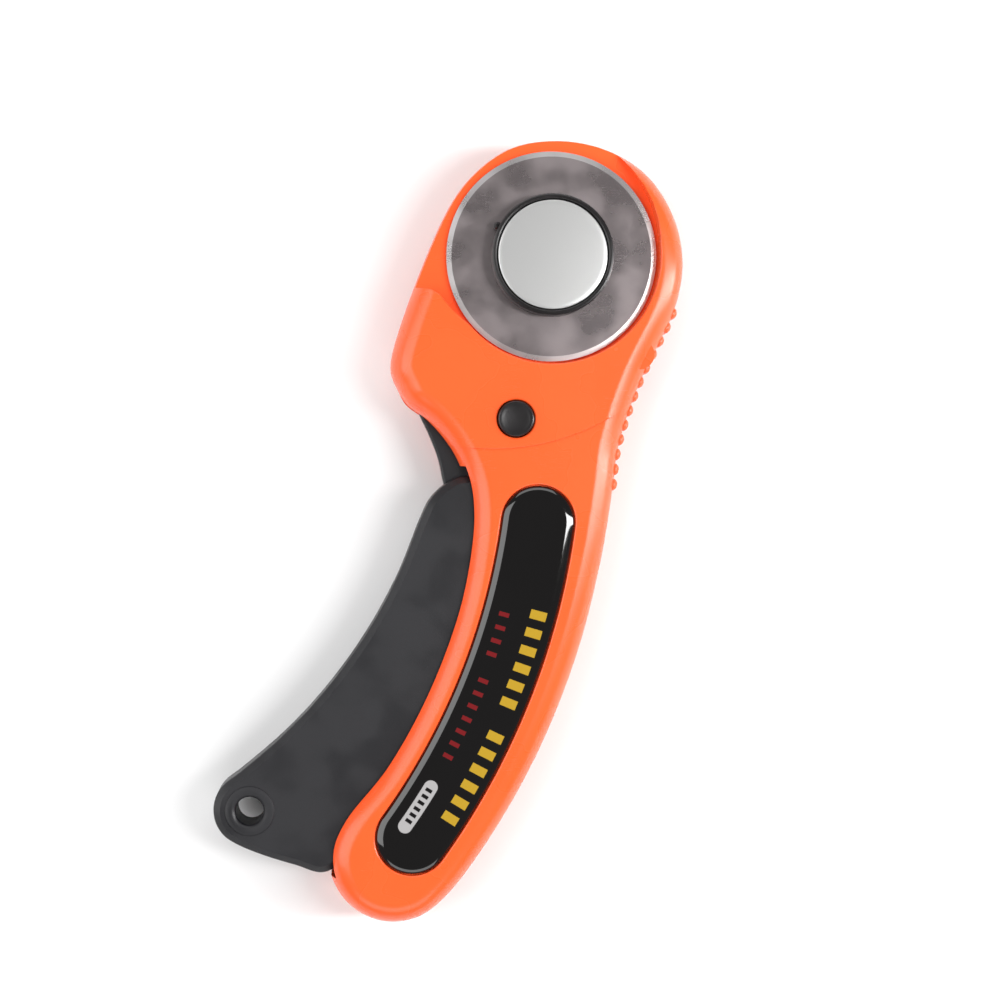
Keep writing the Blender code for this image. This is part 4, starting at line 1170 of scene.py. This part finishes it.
    def arm(self) -> np.ndarray:
        """The lever's thin arm, from the blade's axis past the pivot and the latch to the grip."""
        points = arc(self.pivot, self.hub_radius, 128.0, 205.0, 4)
        flare = ((0.3, 225.0), (1.7, 243.0), (4.6, 257.0))
        points += [polar(self.pivot, self.hub_radius + extra, turn) for extra, turn in flare]
        stations = ((1.5, 25.0), (7.5, 22.9), (14.0, 21.2), (20.0, 18.0), (20.0, 6.0), (12.0, 0.0))
        points += [self.along(s, side) for s, side in stations]
        points += [np.array(self.lock) + shift for shift in ((8.0, -5.0), (8.4, 3.0), (8.2, 13.0))]
        points += arc((0.0, 0.0), self.eye_radius, -60.0, 128.0, 7)
        return even_loop(smooth_loop(points), 0.6, 2)

    def grip(self) -> np.ndarray:
        """The lever's thick grip, with the hook's lobe at its lower end."""
        outer = np.linspace(self.grip_top, self.length + 8.0, 6)
        inner = np.linspace(self.length - 7.0, 16.0, 6)
        points = [self.along(13.4, 20.8), self.along(17.6, 23.9)]
        points += [self.along(s, self.grip_reach + self.grip_flare * (s - self.grip_top)) for s in outer]
        points += arc(self.hook, self.hook_lobe, 140.0, 250.0, 5)
        points += arc(self.pivot, self.lever_reach, 251.5, 258.5, 3)
        points.append(self.along(self.length - 1.0, self.grip_inner + 0.8))
        points += [self.along(s, self.grip_inner) for s in inner]
        points += [self.along(12.6, self.grip_inner + 1.2), self.along(11.4, 17.4)]
        return even_loop(smooth_loop(points), 0.6, 2)


LEVELS = Levels()
PLAN = Planform()


def flared(name: str, loop: np.ndarray, low: float, face: float, flare: float) -> Item:
    """Makes a cutter for a pocket that opens upwards, with a rounded lip at the face.

    Args:
        name: The cutter's name.
        loop: The pocket's outline.
        low: Its floor.
        face: The level of the face that it opens in.
        flare: The lip's size.

    Returns:
        The cutter.
    """
    lip = [(-flare * (1 - math.cos(t)), face - flare + flare * math.sin(t)) for t in (0.0, 0.5, 1.0, 1.4)]
    return raised(name, loop, [(0.0, low), *lip, (-flare, face + 0.1), (-flare, face + 1.0)])


def hole(name: str, centre: Sequence[float], radius: float, low: float, face: float, flare: float) -> Item:
    """Makes a cutter for a round hole that opens at a face, with a rounded lip there.

    Args:
        name: The cutter's name.
        centre: The hole's centre.
        radius: Its radius.
        low: The level of its far end, which is above the face for a hole that opens downwards.
        face: The level of the face.
        flare: The lip's size.

    Returns:
        The cutter.
    """
    way = 1.0 if face > low else -1.0
    lip = [(radius + flare, face + way), (radius + flare, face + 0.05 * way)]
    for turn in (1.4, 1.0, 0.5):
        lip.append((radius + flare * (1 - math.cos(turn)), face + way * flare * (math.sin(turn) - 1)))
    section = [(0.0, face + way), *lip, (radius, face - way * flare), (radius, low), (0.0, low)]
    return spun(name, centre, section if way > 0 else section[::-1], 72)


@dataclass(frozen=True)
class BodyShells:
    """The orange body: two moulded halves, the ribs on its back edge, the inlay and the screws.

    Attributes:
        gap: From each half to the middle of the seam.
        edge_width: How far in the rounding of the front edge reaches.
        edge_depth: How far down it reaches.
        handle_round: The rounding of the handle's back edge.
        head_round: The rounding of the head's back edge.
        head_wall: The head's wall.
        handle_wall: The handle's wall.
        step_lap: How far the handle reaches under the head.
        step_edge: The rounding of the head's step.
        lip: The rounding of the pockets' edges.
    """

    gap: float = 0.15
    edge_width: float = 5.0
    edge_depth: float = 6.5
    handle_round: float = 4.0
    head_round: float = 3.0
    head_wall: float = 2.4
    handle_wall: float = 2.6
    step_lap: float = 1.5
    step_edge: float = 0.35
    lip: float = 0.35
    end_round: float = 1.6
    pin_bore: float = 1.9
    blade_room: float = 0.6
    guard_low: float = 12.8
    window_radius: float = 7.3
    button_bore: float = 4.05
    cap_bore: float = 3.6
    cap_ring: float = 5.2
    cap_ring_back: float = 4.2
    inlay_floor: float = 16.9
    inlay_edge: float = 2.3
    boss_radius: float = 3.2
    screw_radius: float = 2.5
    screw_sunk: float = 1.0
    shank_radius: float = 1.1
    rib_count: int = 13
    rib_radius: float = 1.2
    rib_sunk: float = 0.4
    rib_low: float = 7.0
    rib_high: float = 14.4
    rib_first: float = -22.0
    rib_last: float = 10.5
    rib_stretch: float = 1.15

    def joined(self, name: str, head: Section, handle: Section, limit: Section, end: Section) -> Item:
        """Joins the head and the handle at the step between them.

        Args:
            name: The piece's name.
            head: The head's section.
            handle: The handle's section.
            limit: The outer side of the round solid that the head ends in, top to bottom.
            end: The outer side of the round cutter that the handle starts at, top to bottom.

        Returns:
            The solid.
        """
        outline, sides = PLAN.body(), 320
        grip = raised(name + "_handle", outline, handle)
        cut(grip, spun("end", PLAN.step_centre, [(0.0, end[0][1]), *end, (0.0, end[-1][1])], sides))
        item = raised(name, outline, head)
        keep(item, spun("limit", PLAN.step_centre, [(0.0, limit[0][1]), *limit, (0.0, limit[-1][1])], sides))
        return join(item, grip)

    def rooms(self, low: float, high: float) -> list[Item]:
        """Makes the cutters for the rooms that the lever moves in.

        Args:
            low: Where they are cut off, in one half.
            high: Where they end.

        Returns:
            The handle's room and the head's.
        """
        outline = PLAN.body()
        bottom = max(low, LEVELS.handle_back + self.handle_wall)
        top = min(high, LEVELS.handle_front - self.handle_wall)
        handle = raised("room", drawn_in(outline, self.handle_wall), [(0.0, bottom), (0.0, top)])
        wall = PLAN.step_radius - self.step_lap + self.head_wall
        cut(handle, rod("wall", PLAN.step_centre, wall, bottom - 1, top + 1, 240))
        stations = np.linspace(9.0, PLAN.length + 19.0, 24)
        mouth = [PLAN.along(s, 1.0) for s in stations[::-1]] + [PLAN.along(s, 60.0) for s in stations[::4]]
        join(handle, raised("mouth", np.array(mouth)[::-1], [(0.0, bottom + 0.01), (0.0, top - 0.01)]))
        keep(handle, rod("sweep", PLAN.pivot, PLAN.lever_reach + 0.6, bottom - 1, top + 1, 320))
        bottom, top = max(low, LEVELS.head_back + self.head_wall), min(high, self.guard_low)
        head = raised("head_room", drawn_in(outline, self.head_wall), [(0.0, bottom), (0.0, top)])
        keep(head, rod("head_end", PLAN.step_centre, PLAN.step_radius + 7.0, bottom - 1, top + 1, 240))
        mouth = [PLAN.pivot, polar(PLAN.pivot, 50.0, 228.0), PLAN.along(30.0, 20.0), PLAN.along(10.0, 2.0)]
        join(head, raised("head_mouth", np.array(mouth), [(0.0, bottom + 0.01), (0.0, top - 0.01)]))
        return [handle, head]

    def screw_places(self) -> list[tuple[np.ndarray, float]]:
        """Gives each screw's place and the level of the back there."""
        head = polar((0.0, 0.0), PLAN.blade_radius + self.blade_room + 1.9 + self.boss_radius, -48.5)
        handle = [PLAN.along(12.0, -8.0), PLAN.along(52.0, -8.0), PLAN.along(PLAN.length + 8.7, -3.6)]
        return [(head, LEVELS.head_back)] + [(place, LEVELS.handle_back) for place in handle]

    def front_shell(self) -> Item:
        """Builds the front half."""
        low, top, lip = LEVELS.seam + self.gap, LEVELS.head_front, self.lip
        sections = []
        for face in (top, LEVELS.handle_front):
            rounding = round_over(self.edge_width, face - self.edge_depth, face, 12)
            sections.append([(self.gap, low), (0.0, low + self.gap), *rounding])
        radius, size = PLAN.step_radius, self.step_edge
        lap = radius - self.step_lap
        turns = (1.5, 1.0, 0.5, 0.0)
        rounding = [(radius - size * (1 - math.cos(t)), top - size * (1 - math.sin(t))) for t in turns]
        limit = [(radius - 2.0, top + 1.0), (radius - size - 0.05, top + 0.05), *rounding]
        limit.append((radius, low - 1.0))
        item = self.joined("front_body", *sections, limit, [(lap, top + 1.0), (lap, low - 1.0)])
        cut(item, *self.rooms(low - 1.0, top))
        for place, _ in self.screw_places()[:3]:
            join(item, rod("boss", place, self.boss_radius, low, LEVELS.handle_front - 1.3))
        for place, back in self.screw_places():
            cut(item, rod("pilot", place, self.shank_radius + 0.15, low - 1.0, back + self.screw_sunk + 9.6))
        recess = PLAN.slot((0.0, 0.0), PLAN.squeeze, PLAN.blade_radius + self.blade_room, 96)
        cut(item, flared("recess", recess, LEVELS.guard_front, top, lip))
        cut(item, flared("guard", PLAN.guard(), LEVELS.guard_front + 0.002, top, lip))
        window = PLAN.slot((0.0, 0.0), PLAN.squeeze, self.window_radius)
        cut(item, raised("window", window, [(0.0, LEVELS.arm_front), (0.0, LEVELS.blade_back)]))
        cut(item, flared("inlay", PLAN.inlay(2 * self.gap), self.inlay_floor, LEVELS.handle_front, lip))
        cut(item, hole("bore", PLAN.lock, self.button_bore, LEVELS.arm_front, top, lip))
        cut(item, rod("pin", PLAN.pivot, self.pin_bore, LEVELS.arm_front, self.guard_low + 2.7))
        return shaded(join(item, self.post()))

    def rear_shell(self) -> Item:
        """Builds the rear half."""
        high, lip = LEVELS.seam - self.gap, self.lip
        sections = []
        for face, size in ((LEVELS.head_back, self.head_round), (LEVELS.handle_back, self.handle_round)):
            rounding = round_over(size, face + size, face, 8)[::-1]
            sections.append([*rounding, (0.0, high - self.gap), (self.gap, high)])
        lap, size, back = PLAN.step_radius - self.step_lap, self.end_round, LEVELS.handle_back
        turns = (0.0, 0.4, 0.8, 1.2, 1.5)
        rounding = [(lap + size * (1 - math.cos(t)), back + size * (1 - math.sin(t))) for t in turns]
        end = [(lap, high + 1.0), *rounding, (lap + size, back - 1.0)]
        limit = [(PLAN.step_radius, high + 1.0), (PLAN.step_radius, back - 1.0)]
        item = self.joined("rear_body", *sections, limit, end)
        cut(item, *self.rooms(back, high + 1.0))
        for place, level in self.screw_places()[:3]:
            join(item, rod("boss", place, self.boss_radius, level + 1.3, high))
        foot = self.cap_ring_back
        root, radius = LEVELS.head_back + self.head_wall / 2, self.cap_ring
        ring = [(0.0, root), (radius, root), (radius, foot + 0.5)]
        ring += [(radius - 0.15, foot + 0.15), (radius - 0.5, foot), (0.0, foot)]
        join(item, spun("ring", PLAN.lock, ring, 96))
        window = PLAN.slot((0.0, 0.0), PLAN.squeeze, self.window_radius)
        edge_out = [(-lip, LEVELS.head_back - 1.0), (-lip, LEVELS.head_back), (0.0, LEVELS.head_back + lip)]
        cut(item, raised("window", window, [*edge_out, (0.0, LEVELS.arm_back)]))
        cut(item, hole("bore", PLAN.lock, self.cap_bore, LEVELS.arm_back, foot, lip))
        cut(item, rod("pin", PLAN.pivot, self.pin_bore, LEVELS.arm_back - 1.8, LEVELS.arm_back))
        for place, level in self.screw_places():
            cut(item, rod("shank", place, self.shank_radius + 0.15, level, high + 1.0))
            cut(item, hole("sink", place, self.screw_radius + 0.3, level + 2.7, level, lip))
        return shaded(join(item, self.post()))

    def post(self) -> Item:
        """Builds the post that holds the spring's back end."""
        return RETURN_SPRING.post(RETURN_SPRING.length - RETURN_SPRING.post_long, RETURN_SPRING.length + 1.2)

    def rib_path(self) -> np.ndarray:
        """Gives the line of the back edge that the ribs stand on, from the handle up to the head."""
        outline = PLAN.body()
        head = polar(PLAN.head_centre, PLAN.blade_radius + PLAN.head_margin, self.rib_first)
        ends = (PLAN.along(self.rib_last, -PLAN.half), head)
        first, last = (np.argmin(np.linalg.norm(outline - end, axis=1)) for end in ends)
        return drawn_in(outline, self.rib_sunk)[first : last + 1]

    def ribs(self) -> Item:
        """Builds the ribs on the back edge, each a leaning tooth with rounded ends."""
        radius, low, high = self.rib_radius, self.rib_low, self.rib_high
        crown = ((0.0, 0.0), (0.5, 0.15), (0.85, 0.6), (1.0, 1.3))
        section = [(radius * share, high - drop) for share, drop in crown]
        section += [(radius * share, low + drop) for share, drop in crown[::-1]]
        form = spun("rib", (0.0, 0.0), section, 28)
        for point in form.data.vertices:
            point.co.x *= self.rib_stretch
        points = [(x, y, 0.0) for x, y in self.rib_path()]
        item = made("edge_ribs", points, [], [(i, i + 1) for i in range(len(points) - 1)])
        Grown.on(item, Grown.row_along_path(), Finish.ORANGE, Form=form, Count=self.rib_count)
        bpy.data.objects.remove(form)
        return shaded(item)

    def inlay(self) -> Item:
        """Builds the domed inlay."""
        top, low = LEVELS.inlay_top, self.inlay_floor + 2 * self.gap
        section = [(0.3, low), (0.0, low + 0.3), *round_over(self.inlay_edge, top - 0.95, top, 12)]
        return shaded(raised("front_inlay_gloss", PLAN.inlay(), section), 50.0)

    def screws(self) -> Item:
        """Builds the four cross-headed screws."""
        radius, long, head = self.screw_radius, 9.0, 1.4
        section = [(0.0, long), (0.6, long - 0.2), (self.shank_radius, long - 1.5), (self.shank_radius, head)]
        section += [(radius, head), (radius, 0.55), (radius - 0.2, 0.2), (radius - 0.7, 0.0), (0.0, 0.0)]
        form = spun("screw", (0.0, 0.0), section, 40)
        for x, y in ((1.5, 0.3), (0.3, 1.5)):
            corners = np.array([(x, y), (-x, y), (-x, -y), (x, -y)])
            cut(form, raised("cross", corners, [(0.0, -1.0), (0.0, 0.55), (0.12, 0.9)]))
        points = [(*place, level + self.screw_sunk) for place, level in self.screw_places()]
        item = made("shell_screws", points, [])
        Grown.on(item, Grown.forms_at_points(), Finish.SCREW, Form=form)
        bpy.data.objects.remove(form)
        return shaded(item)

    def build(self) -> None:
        """Builds and dresses the pieces."""
        placed(self.front_shell(), Finish.ORANGE, Body.BODY, "orange_body", "front_shell")
        placed(self.rear_shell(), Finish.ORANGE, Body.BODY, "orange_body", "rear_shell")
        placed(self.ribs(), Finish.ORANGE, Body.BODY, "orange_body")
        placed(self.inlay(), Finish.INLAY, Body.BODY, "gloss_inlay", "front_inlay")
        screws = [f"shell_screw_{place}" for place in ("head", "upper", "middle", "end")]
        placed(self.screws(), Finish.SCREW, Body.BODY, "dark_screws", *screws)
        dress("pivot_pin", Finish.STEEL)


@dataclass(frozen=True)
class ReturnSpring:
    """The spring between the grip and the back of the handle, and the posts that hold its ends."""

    place: float = 29.0
    coil_radius: float = 3.6
    wire: float = 0.45
    turns: float = 7.0
    post_radius: float = 2.6
    post_long: float = 3.0
    wall: float = 2.6
    gap: float = 0.3

    @property
    def start(self) -> np.ndarray:
        """Where it stands on the grip."""
        return PLAN.along(self.place, PLAN.grip_inner - self.gap)

    @property
    def end(self) -> np.ndarray:
        """Where it stands on the handle's wall."""
        return PLAN.along(self.place, -(PLAN.half - self.wall) + self.gap)

    @property
    def length(self) -> float:
        """Its length at rest."""
        return float(np.linalg.norm(self.end - self.start))

    @property
    def way(self) -> np.ndarray:
        """The direction from the grip to the wall."""
        return (self.end - self.start) / self.length

    @property
    def heading(self) -> float:
        """That direction's angle from +X."""
        return math.atan2(self.way[1], self.way[0])

    def post(self, low: float, high: float) -> Item:
        """Builds a round post on the spring's line.

        Args:
            low: Where it starts along the line.
            high: Where it ends.

        Returns:
            The post.
        """
        item = rod("post", (0.0, 0.0), self.post_radius, low, high, 40)
        turn = Matrix.Rotation(self.heading, 4, "Z") @ Matrix.Rotation(math.pi / 2, 4, "Y")
        item.data.transform(Matrix.Translation(Vector((*self.start, LEVELS.seam)) * MM) @ turn)
        return item

    def build(self) -> None:
        """Builds and dresses the spring, at its length at rest."""
        item = made("return_spring_coil", [(0.0, 0.0, 0.0)], [])
        sizes = {"Coil_Radius": self.coil_radius * MM, "Wire_Radius": self.wire * MM, "Turns": self.turns}
        sizes["Length"] = (self.length - 2 * self.wire) * MM
        Grown.on(item, Grown.coil(), Finish.SPRING, **sizes)
        turn = Matrix.Rotation(self.heading, 4, "Z") @ Matrix.Rotation(math.pi / 2, 4, "Y")
        start = self.start + self.way * self.wire
        item.data.transform(Matrix.Translation(Vector((*start, LEVELS.seam)) * MM) @ turn)
        placed(shaded(item, 60.0), Finish.SPRING, Body.BODY, "bright_steel", "return_spring")
        travel = float(np.dot(PLAN.turned(self.start, PLAN.squeeze) - self.start, self.way))
        Vector((*self.way, 0.0))
        1 - travel / self.length
        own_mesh(item)


RETURN_SPRING = ReturnSpring()


@dataclass(frozen=True)
class SqueezeLever:
    """The black lever: a thin arm inside the head and a thick grip with the hook hole.

    Attributes:
        arm_edge: The arm's chamfer.
        bevel_width: How far in the grip's bevel reaches.
        bevel_depth: How far down it reaches.
        bolt_bore: The radius of the hole on the blade's axis.
        bush_bore: The radius of the hub's hole.
        collar_bore: The radius of the holes that the latch's collar drops in.
        web: The thickness of the arm under the latch's pocket.
        hook_bore: The hook hole's radius.
        hook_ring: The radius of the raised ring round it.
        hook_proud: The ring's height.
    """

    arm_edge: float = 0.4
    bevel_width: float = 1.5
    bevel_depth: float = 1.3
    bolt_bore: float = 2.7
    bush_bore: float = 2.75
    collar_bore: float = 2.95
    web: float = 2.2
    hook_bore: float = 3.0
    hook_ring: float = 5.4
    hook_proud: float = 0.3

    def lever(self) -> Item:
        """Builds the lever."""
        low, high, size = LEVELS.arm_back, LEVELS.arm_front, self.arm_edge
        section = [(size, low), (0.0, low + size), (0.0, high - size), (size, high)]
        item = raised("squeeze_lever", PLAN.arm(), section)
        low, high, wide, deep = LEVELS.grip_back, LEVELS.grip_front, self.bevel_width, self.bevel_depth
        edge_section = [(0.0, deep + 0.3), (0.06, deep), (0.22, deep - 0.25), (wide, 0.0)]
        section = [(inset, low + level) for inset, level in edge_section[::-1]]
        section += [(inset, high - level) for inset, level in edge_section]
        join(item, raised("grip", PLAN.grip(), section))
        boss_low, boss_high = LEVELS.head_back + 0.9, LEVELS.blade_back - 0.6
        join(item, rod("boss", (0.0, 0.0), PLAN.boss_radius, boss_low, boss_high, 96))
        join(item, RETURN_SPRING.post(-0.9, RETURN_SPRING.post_long))
        low, high, ring = low - self.hook_proud, high + self.hook_proud, self.hook_ring
        rounding = ((ring, 0.0), (0.7, 0.0), (0.2, 0.12), (0.0, 0.35))
        section = [(ring - inset, high - drop) for inset, drop in rounding]
        section += [(ring - inset, low + drop) for inset, drop in rounding[::-1]]
        join(item, spun("ring", PLAN.hook, section, 96))
        lip = self.hook_bore * 0.27
        cut(item, hole("hook", PLAN.hook, self.hook_bore, (low + high) / 2 - 0.1, high, lip))
        cut(item, hole("hook", PLAN.hook, self.hook_bore, (low + high) / 2 + 0.1, low, lip))
        cut(item, rod("bolt", (0.0, 0.0), self.bolt_bore, LEVELS.handle_back, LEVELS.head_front))
        arm_low, arm_high = LEVELS.arm_back, LEVELS.arm_front
        cut(item, rod("hub", PLAN.pivot, self.bush_bore, arm_low - 0.5, arm_high + 0.5))
        for place in (PLAN.lock, PLAN.turned(PLAN.lock, -PLAN.squeeze)):
            cut(item, rod("collar", place, self.collar_bore, arm_low - 0.5, arm_high + 0.5))
        pocket = PLAN.slot(PLAN.lock, -PLAN.squeeze, self.collar_bore + 0.15, 32)
        cut(item, raised("pocket", pocket, [(0.0, arm_low + self.web), (0.0, arm_high + 0.6)]))
        return shaded(item)

    def build(self) -> None:
        """Builds and dresses the lever, and the bush in it."""
        placed(self.lever(), Finish.LEVER, Body.LEVER, "black_lever", "trigger_lever")
        dress("pivot_bush", Finish.BRASS)


@dataclass(frozen=True)
class BladeClamp:
    """The blade, and what clamps it: the cap with its label, the bolt, the washer and the nut."""

    bore: float = 4.0
    bevel: float = 1.1
    rim_thick: float = 0.06
    cap_radius: float = 13.0
    rim: float = 1.05
    label_thick: float = 0.5
    label_sunk: float = 0.2
    hub_radius: float = 3.95
    bolt_bore: float = 2.7
    pocket: float = 5.5
    nib_radius: float = 0.85
    nib_place: Pair = (13.2, 152.0)
    nut_radius: float = 9.0
    flute: float = 0.45
    flutes: int = 20
    insert_pocket: float = 4.8

    def blade(self) -> Item:
        """Builds the round blade, ground on both faces."""
        top, low = LEVELS.blade_front, LEVELS.blade_back
        half, thin = (top + low) / 2, self.rim_thick / 2
        radius, flat = PLAN.blade_radius, PLAN.blade_radius - self.bevel
        section = [(self.bore, top), (flat, top), (radius, half + thin), (radius, half - thin)]
        return shaded(spun("round_blade", (0.0, 0.0), [*section, (flat, low), (self.bore, low)], 360), 3.0)

    def cap(self) -> Item:
        """Builds the cap's ring, hub and nib."""
        top, foot, radius = LEVELS.cap_top, LEVELS.blade_front + 0.3, self.cap_radius
        inner, floor = radius - self.rim, LEVELS.label_top - self.label_thick - 0.3
        section = [(inner, top - 0.25), (inner + 0.12, top - 0.06), (inner + 0.3, top), (radius - 0.45, top)]
        section += [(radius - 0.15, top - 0.12), (radius - 0.02, top - 0.4), (radius, foot + 0.25)]
        hub, hub_end = self.hub_radius, LEVELS.blade_back - 0.3
        section += [(radius - 0.25, foot), (hub, foot), (hub, hub_end), (self.bolt_bore, hub_end)]
        section += [(self.bolt_bore, floor), (inner, floor)]
        item = spun("clamp_cap", (0.0, 0.0), section, 180)
        cut(item, rod("pocket", (0.0, 0.0), self.pocket, floor - 1.6, floor + 0.5, 6))
        size, height = self.nib_radius, top - 1.2
        nib = [(0.0, height), (size * 0.6, height - 0.1), (size, height - 0.5), (size, foot), (0.0, foot)]
        return shaded(join(item, spun("nib", polar((0.0, 0.0), *self.nib_place), nib, 32)))

    def label(self) -> Item:
        """Builds the printed disc, slightly domed."""
        top, radius = LEVELS.label_top, self.cap_radius - self.rim - 0.3
        section = [(0.0, top)]
        section += [(radius * i / 10, top - 0.16 * (i / 10) ** 2) for i in range(1, 10)]
        section += [(radius - 0.2, top - 0.16), (radius, top - 0.3), (radius, top - self.label_thick)]
        return shaded(spun("cap_label", (0.0, 0.0), [*section, (0.0, top - self.label_thick)], 120), 60.0)

    def washer(self) -> Item:
        """Builds the washer under the nut."""
        low, high, outer, inner = LEVELS.head_back, LEVELS.head_back + 0.6, 6.0, 2.9
        section = [(inner, high), (outer - 0.12, high), (outer, high - 0.12), (outer, low + 0.12)]
        return shaded(spun("clamp_washer", (0.0, 0.0), [*section, (outer - 0.12, low), (inner, low)], 96))

    def nut(self) -> Item:
        """Builds the knurled nut, closed and slightly dished behind."""
        top = LEVELS.head_back - 0.3
        turns = np.linspace(0.0, 2 * math.pi, self.flutes * 12, endpoint=False)
        radii = self.nut_radius + self.flute * np.cos(self.flutes * turns)
        loop = np.column_stack([radii * np.cos(turns), radii * np.sin(turns)])
        section = [(0.4, 0.0), (0.12, 0.12), (0.0, 0.4), (0.0, top - 0.4), (0.12, top - 0.12), (0.4, top)]
        item = raised("knurled_nut", loop, section)
        dish = [(0.0, 0.55), (5.6, 0.45), (6.6, 0.0), (7.6, -1.0), (0.0, -1.0)]
        cut(item, spun("dish", (0.0, 0.0), dish))
        return shaded(cut(item, rod("pocket", (0.0, 0.0), self.insert_pocket, 1.6, top + 0.5, 6)))

    def build(self) -> None:
        """Builds and dresses the pieces."""
        placed(self.blade(), Finish.BLADE, Body.BLADE, "blade_steel", "blade")
        placed(self.cap(), Finish.TRIM, Body.LEVER, "black_trim", "blade_knob")
        placed(self.label(), Finish.LABEL, Body.LEVER, "silver_label", "knob_label")
        placed(self.washer(), Finish.STEEL, Body.WASHER, "bright_steel", "spring_washer")
        placed(self.nut(), Finish.TRIM, Body.NUT, "black_trim", "rear_nut")
        dress("blade_bolt", Finish.STEEL)
        dress("nut_insert", Finish.STEEL)


@dataclass(frozen=True)
class SafetyLatch:
    """The push-through latch: a button in front, and the cap that pushes it back."""

    head: float = 3.85
    collar: float = 2.8
    neck: float = 1.7
    tip: float = 1.15
    cap: float = 3.4
    travel: float = 2.8
    web: float = 2.2
    edge: float = 0.4
    dish: float = 0.35

    def button(self) -> Item:
        """Builds the front half, with its collar and neck."""
        top, gap, edge_size, head = LEVELS.label_top - 0.1, 0.3, self.edge, self.head
        head_low, collar_low = LEVELS.arm_front + gap + self.travel, LEVELS.arm_back + self.web + gap
        neck_low, tip_low = LEVELS.arm_back - gap, LEVELS.head_back - 0.2
        section = [(0.0, top - self.dish)]
        section += [(head * s, top - self.dish * (1 - s**2)) for s in (0.2, 0.4, 0.6, 0.75)]
        turns = (1.5, 1.1, 0.7, 0.3, 0.0)
        for turn in turns:
            section.append((head - edge_size * (1 - math.cos(turn)), top - edge_size * (1 - math.sin(turn))))
        section += [(head, head_low), (self.collar, head_low), (self.collar, collar_low)]
        section += [(self.neck, collar_low), (self.neck, neck_low), (self.tip, neck_low)]
        section += [(self.tip, tip_low), (0.0, tip_low)]
        return shaded(spun("latch_button", PLAN.lock, section, 96))

    def rear_cap(self) -> Item:
        """Builds the rear half."""
        high, low, edge_size, cap = LEVELS.arm_back - 0.6, LEVELS.head_back - 1.0, self.edge, self.cap
        floor, inner = low + 0.5, self.tip + 0.15
        section = [(inner, high), (cap, high), (cap, low + edge_size), (cap - 0.12, low + 0.12)]
        section += [(cap - edge_size, low), (0.0, low), (0.0, floor), (inner, floor)]
        return shaded(spun("latch_cap", PLAN.lock, section, 96))

    def build(self) -> None:
        """Builds and dresses both halves."""
        placed(self.button(), Finish.TRIM, Body.LOCK, "black_trim", "lock_button")
        placed(self.rear_cap(), Finish.TRIM, Body.LOCK, "black_trim", "lock_button_cap")


# ---------------------------------------------------------------- studio


@dataclass(frozen=True)
class SoftBox:
    """A soft light that faces the cutter.

    Attributes:
        name: Its name.
        place: Its centre, in metres.
        size: Its width and length, in metres.
        power: Its power in watts.
    """

    name: str
    place: Colour
    size: Pair
    power: float

    def build(self, target: Vector) -> None:
        """Makes the light, with its long side along the floor where it can be."""
        light = bpy.data.lights.new(self.name, "AREA")
        light.shape = "RECTANGLE"
        light.size, light.size_y = self.size
        light.energy = self.power
        item = bpy.data.objects.new(self.name, light)
        bpy.context.scene.collection.objects.link(item)
        item.location = self.place
        item.rotation_euler = (Vector(self.place) - target).to_track_quat("Z", "Y").to_euler()


@dataclass(frozen=True)
class Studio:
    """The pale floor, the soft lights and the camera above the cutter.

    Attributes:
        middle: The centre of the picture on the blade's level.
        side: How far to the side of it the camera stands.
        width: The picture's width there.
        height: The camera's height above the blade.
    """

    middle: Pair = (-11.0, -52.2)
    side: float = -30.0
    width: float = 214.3
    height: float = 450.0
    floor_size: float = 3.0
    lights: tuple[SoftBox, ...] = (
        SoftBox("key", (0.62, -0.05, 0.42), (0.14, 1.1), 8.5),
        SoftBox("fill", (-0.9, 0.0, 0.75), (0.9, 1.4), 12.0),
        SoftBox("top", (0.0, 0.95, 0.8), (1.4, 0.6), 6.0),
        SoftBox("bottom", (0.0, -1.05, 0.7), (1.4, 0.5), 5.0),
    )

    def floor(self) -> None:
        """Lays the floor."""
        half = self.floor_size / 2 / MM
        corners = [(-half, -half, 0), (half, -half, 0), (half, half, 0), (-half, half, 0)]
        item = made("floor", corners, [(0, 1, 2, 3)])
        material = bpy.data.materials.new("pale_floor")
        material.use_nodes = True
        shader = material.node_tree.nodes["Principled BSDF"]
        shader.inputs["Base Color"].default_value = (0.86, 0.86, 0.86, 1.0)
        shader.inputs["Roughness"].default_value = 0.9
        item.data.materials.append(material)

    def camera(self) -> None:
        """Sets up the camera, which looks straight down."""
        data = bpy.data.cameras.new("camera")
        item = bpy.data.objects.new("camera", data)
        bpy.context.scene.collection.objects.link(item)
        x, y = self.middle
        item.location = Vector((x + self.side, y, LEVELS.blade_front + self.height)) * MM
        data.lens = data.sensor_width * self.height / self.width
        data.shift_x = -self.side / self.width
        bpy.context.scene.camera = item

    def build(self) -> None:
        """Builds the studio."""
        scene = bpy.context.scene
        scene.view_settings.view_transform = "Standard"
        world = bpy.data.worlds.new("studio")
        world.use_nodes = True
        world.node_tree.nodes["Background"].inputs["Color"].default_value = (1.0, 1.0, 1.0, 1.0)
        world.node_tree.nodes["Background"].inputs["Strength"].default_value = 0.2
        scene.world = world
        self.floor()
        for light in self.lights:
            light.build(Vector((*self.middle, 0.0)) * MM)
        self.camera()


def main() -> None:
    """Builds every sub-assembly and the studio."""
    logging.basicConfig(level=logging.INFO, format="%(message)s")
    for name in ("Cube", "Light", "Camera"):
        if name in bpy.data.objects:
            bpy.data.objects.remove(bpy.data.objects[name])
    for part in (BodyShells(), SqueezeLever(), BladeClamp(), SafetyLatch(), RETURN_SPRING, Studio()):
        LOG.info("building %s", type(part).__name__)
        part.build()


if __name__ == "__main__":
    main()
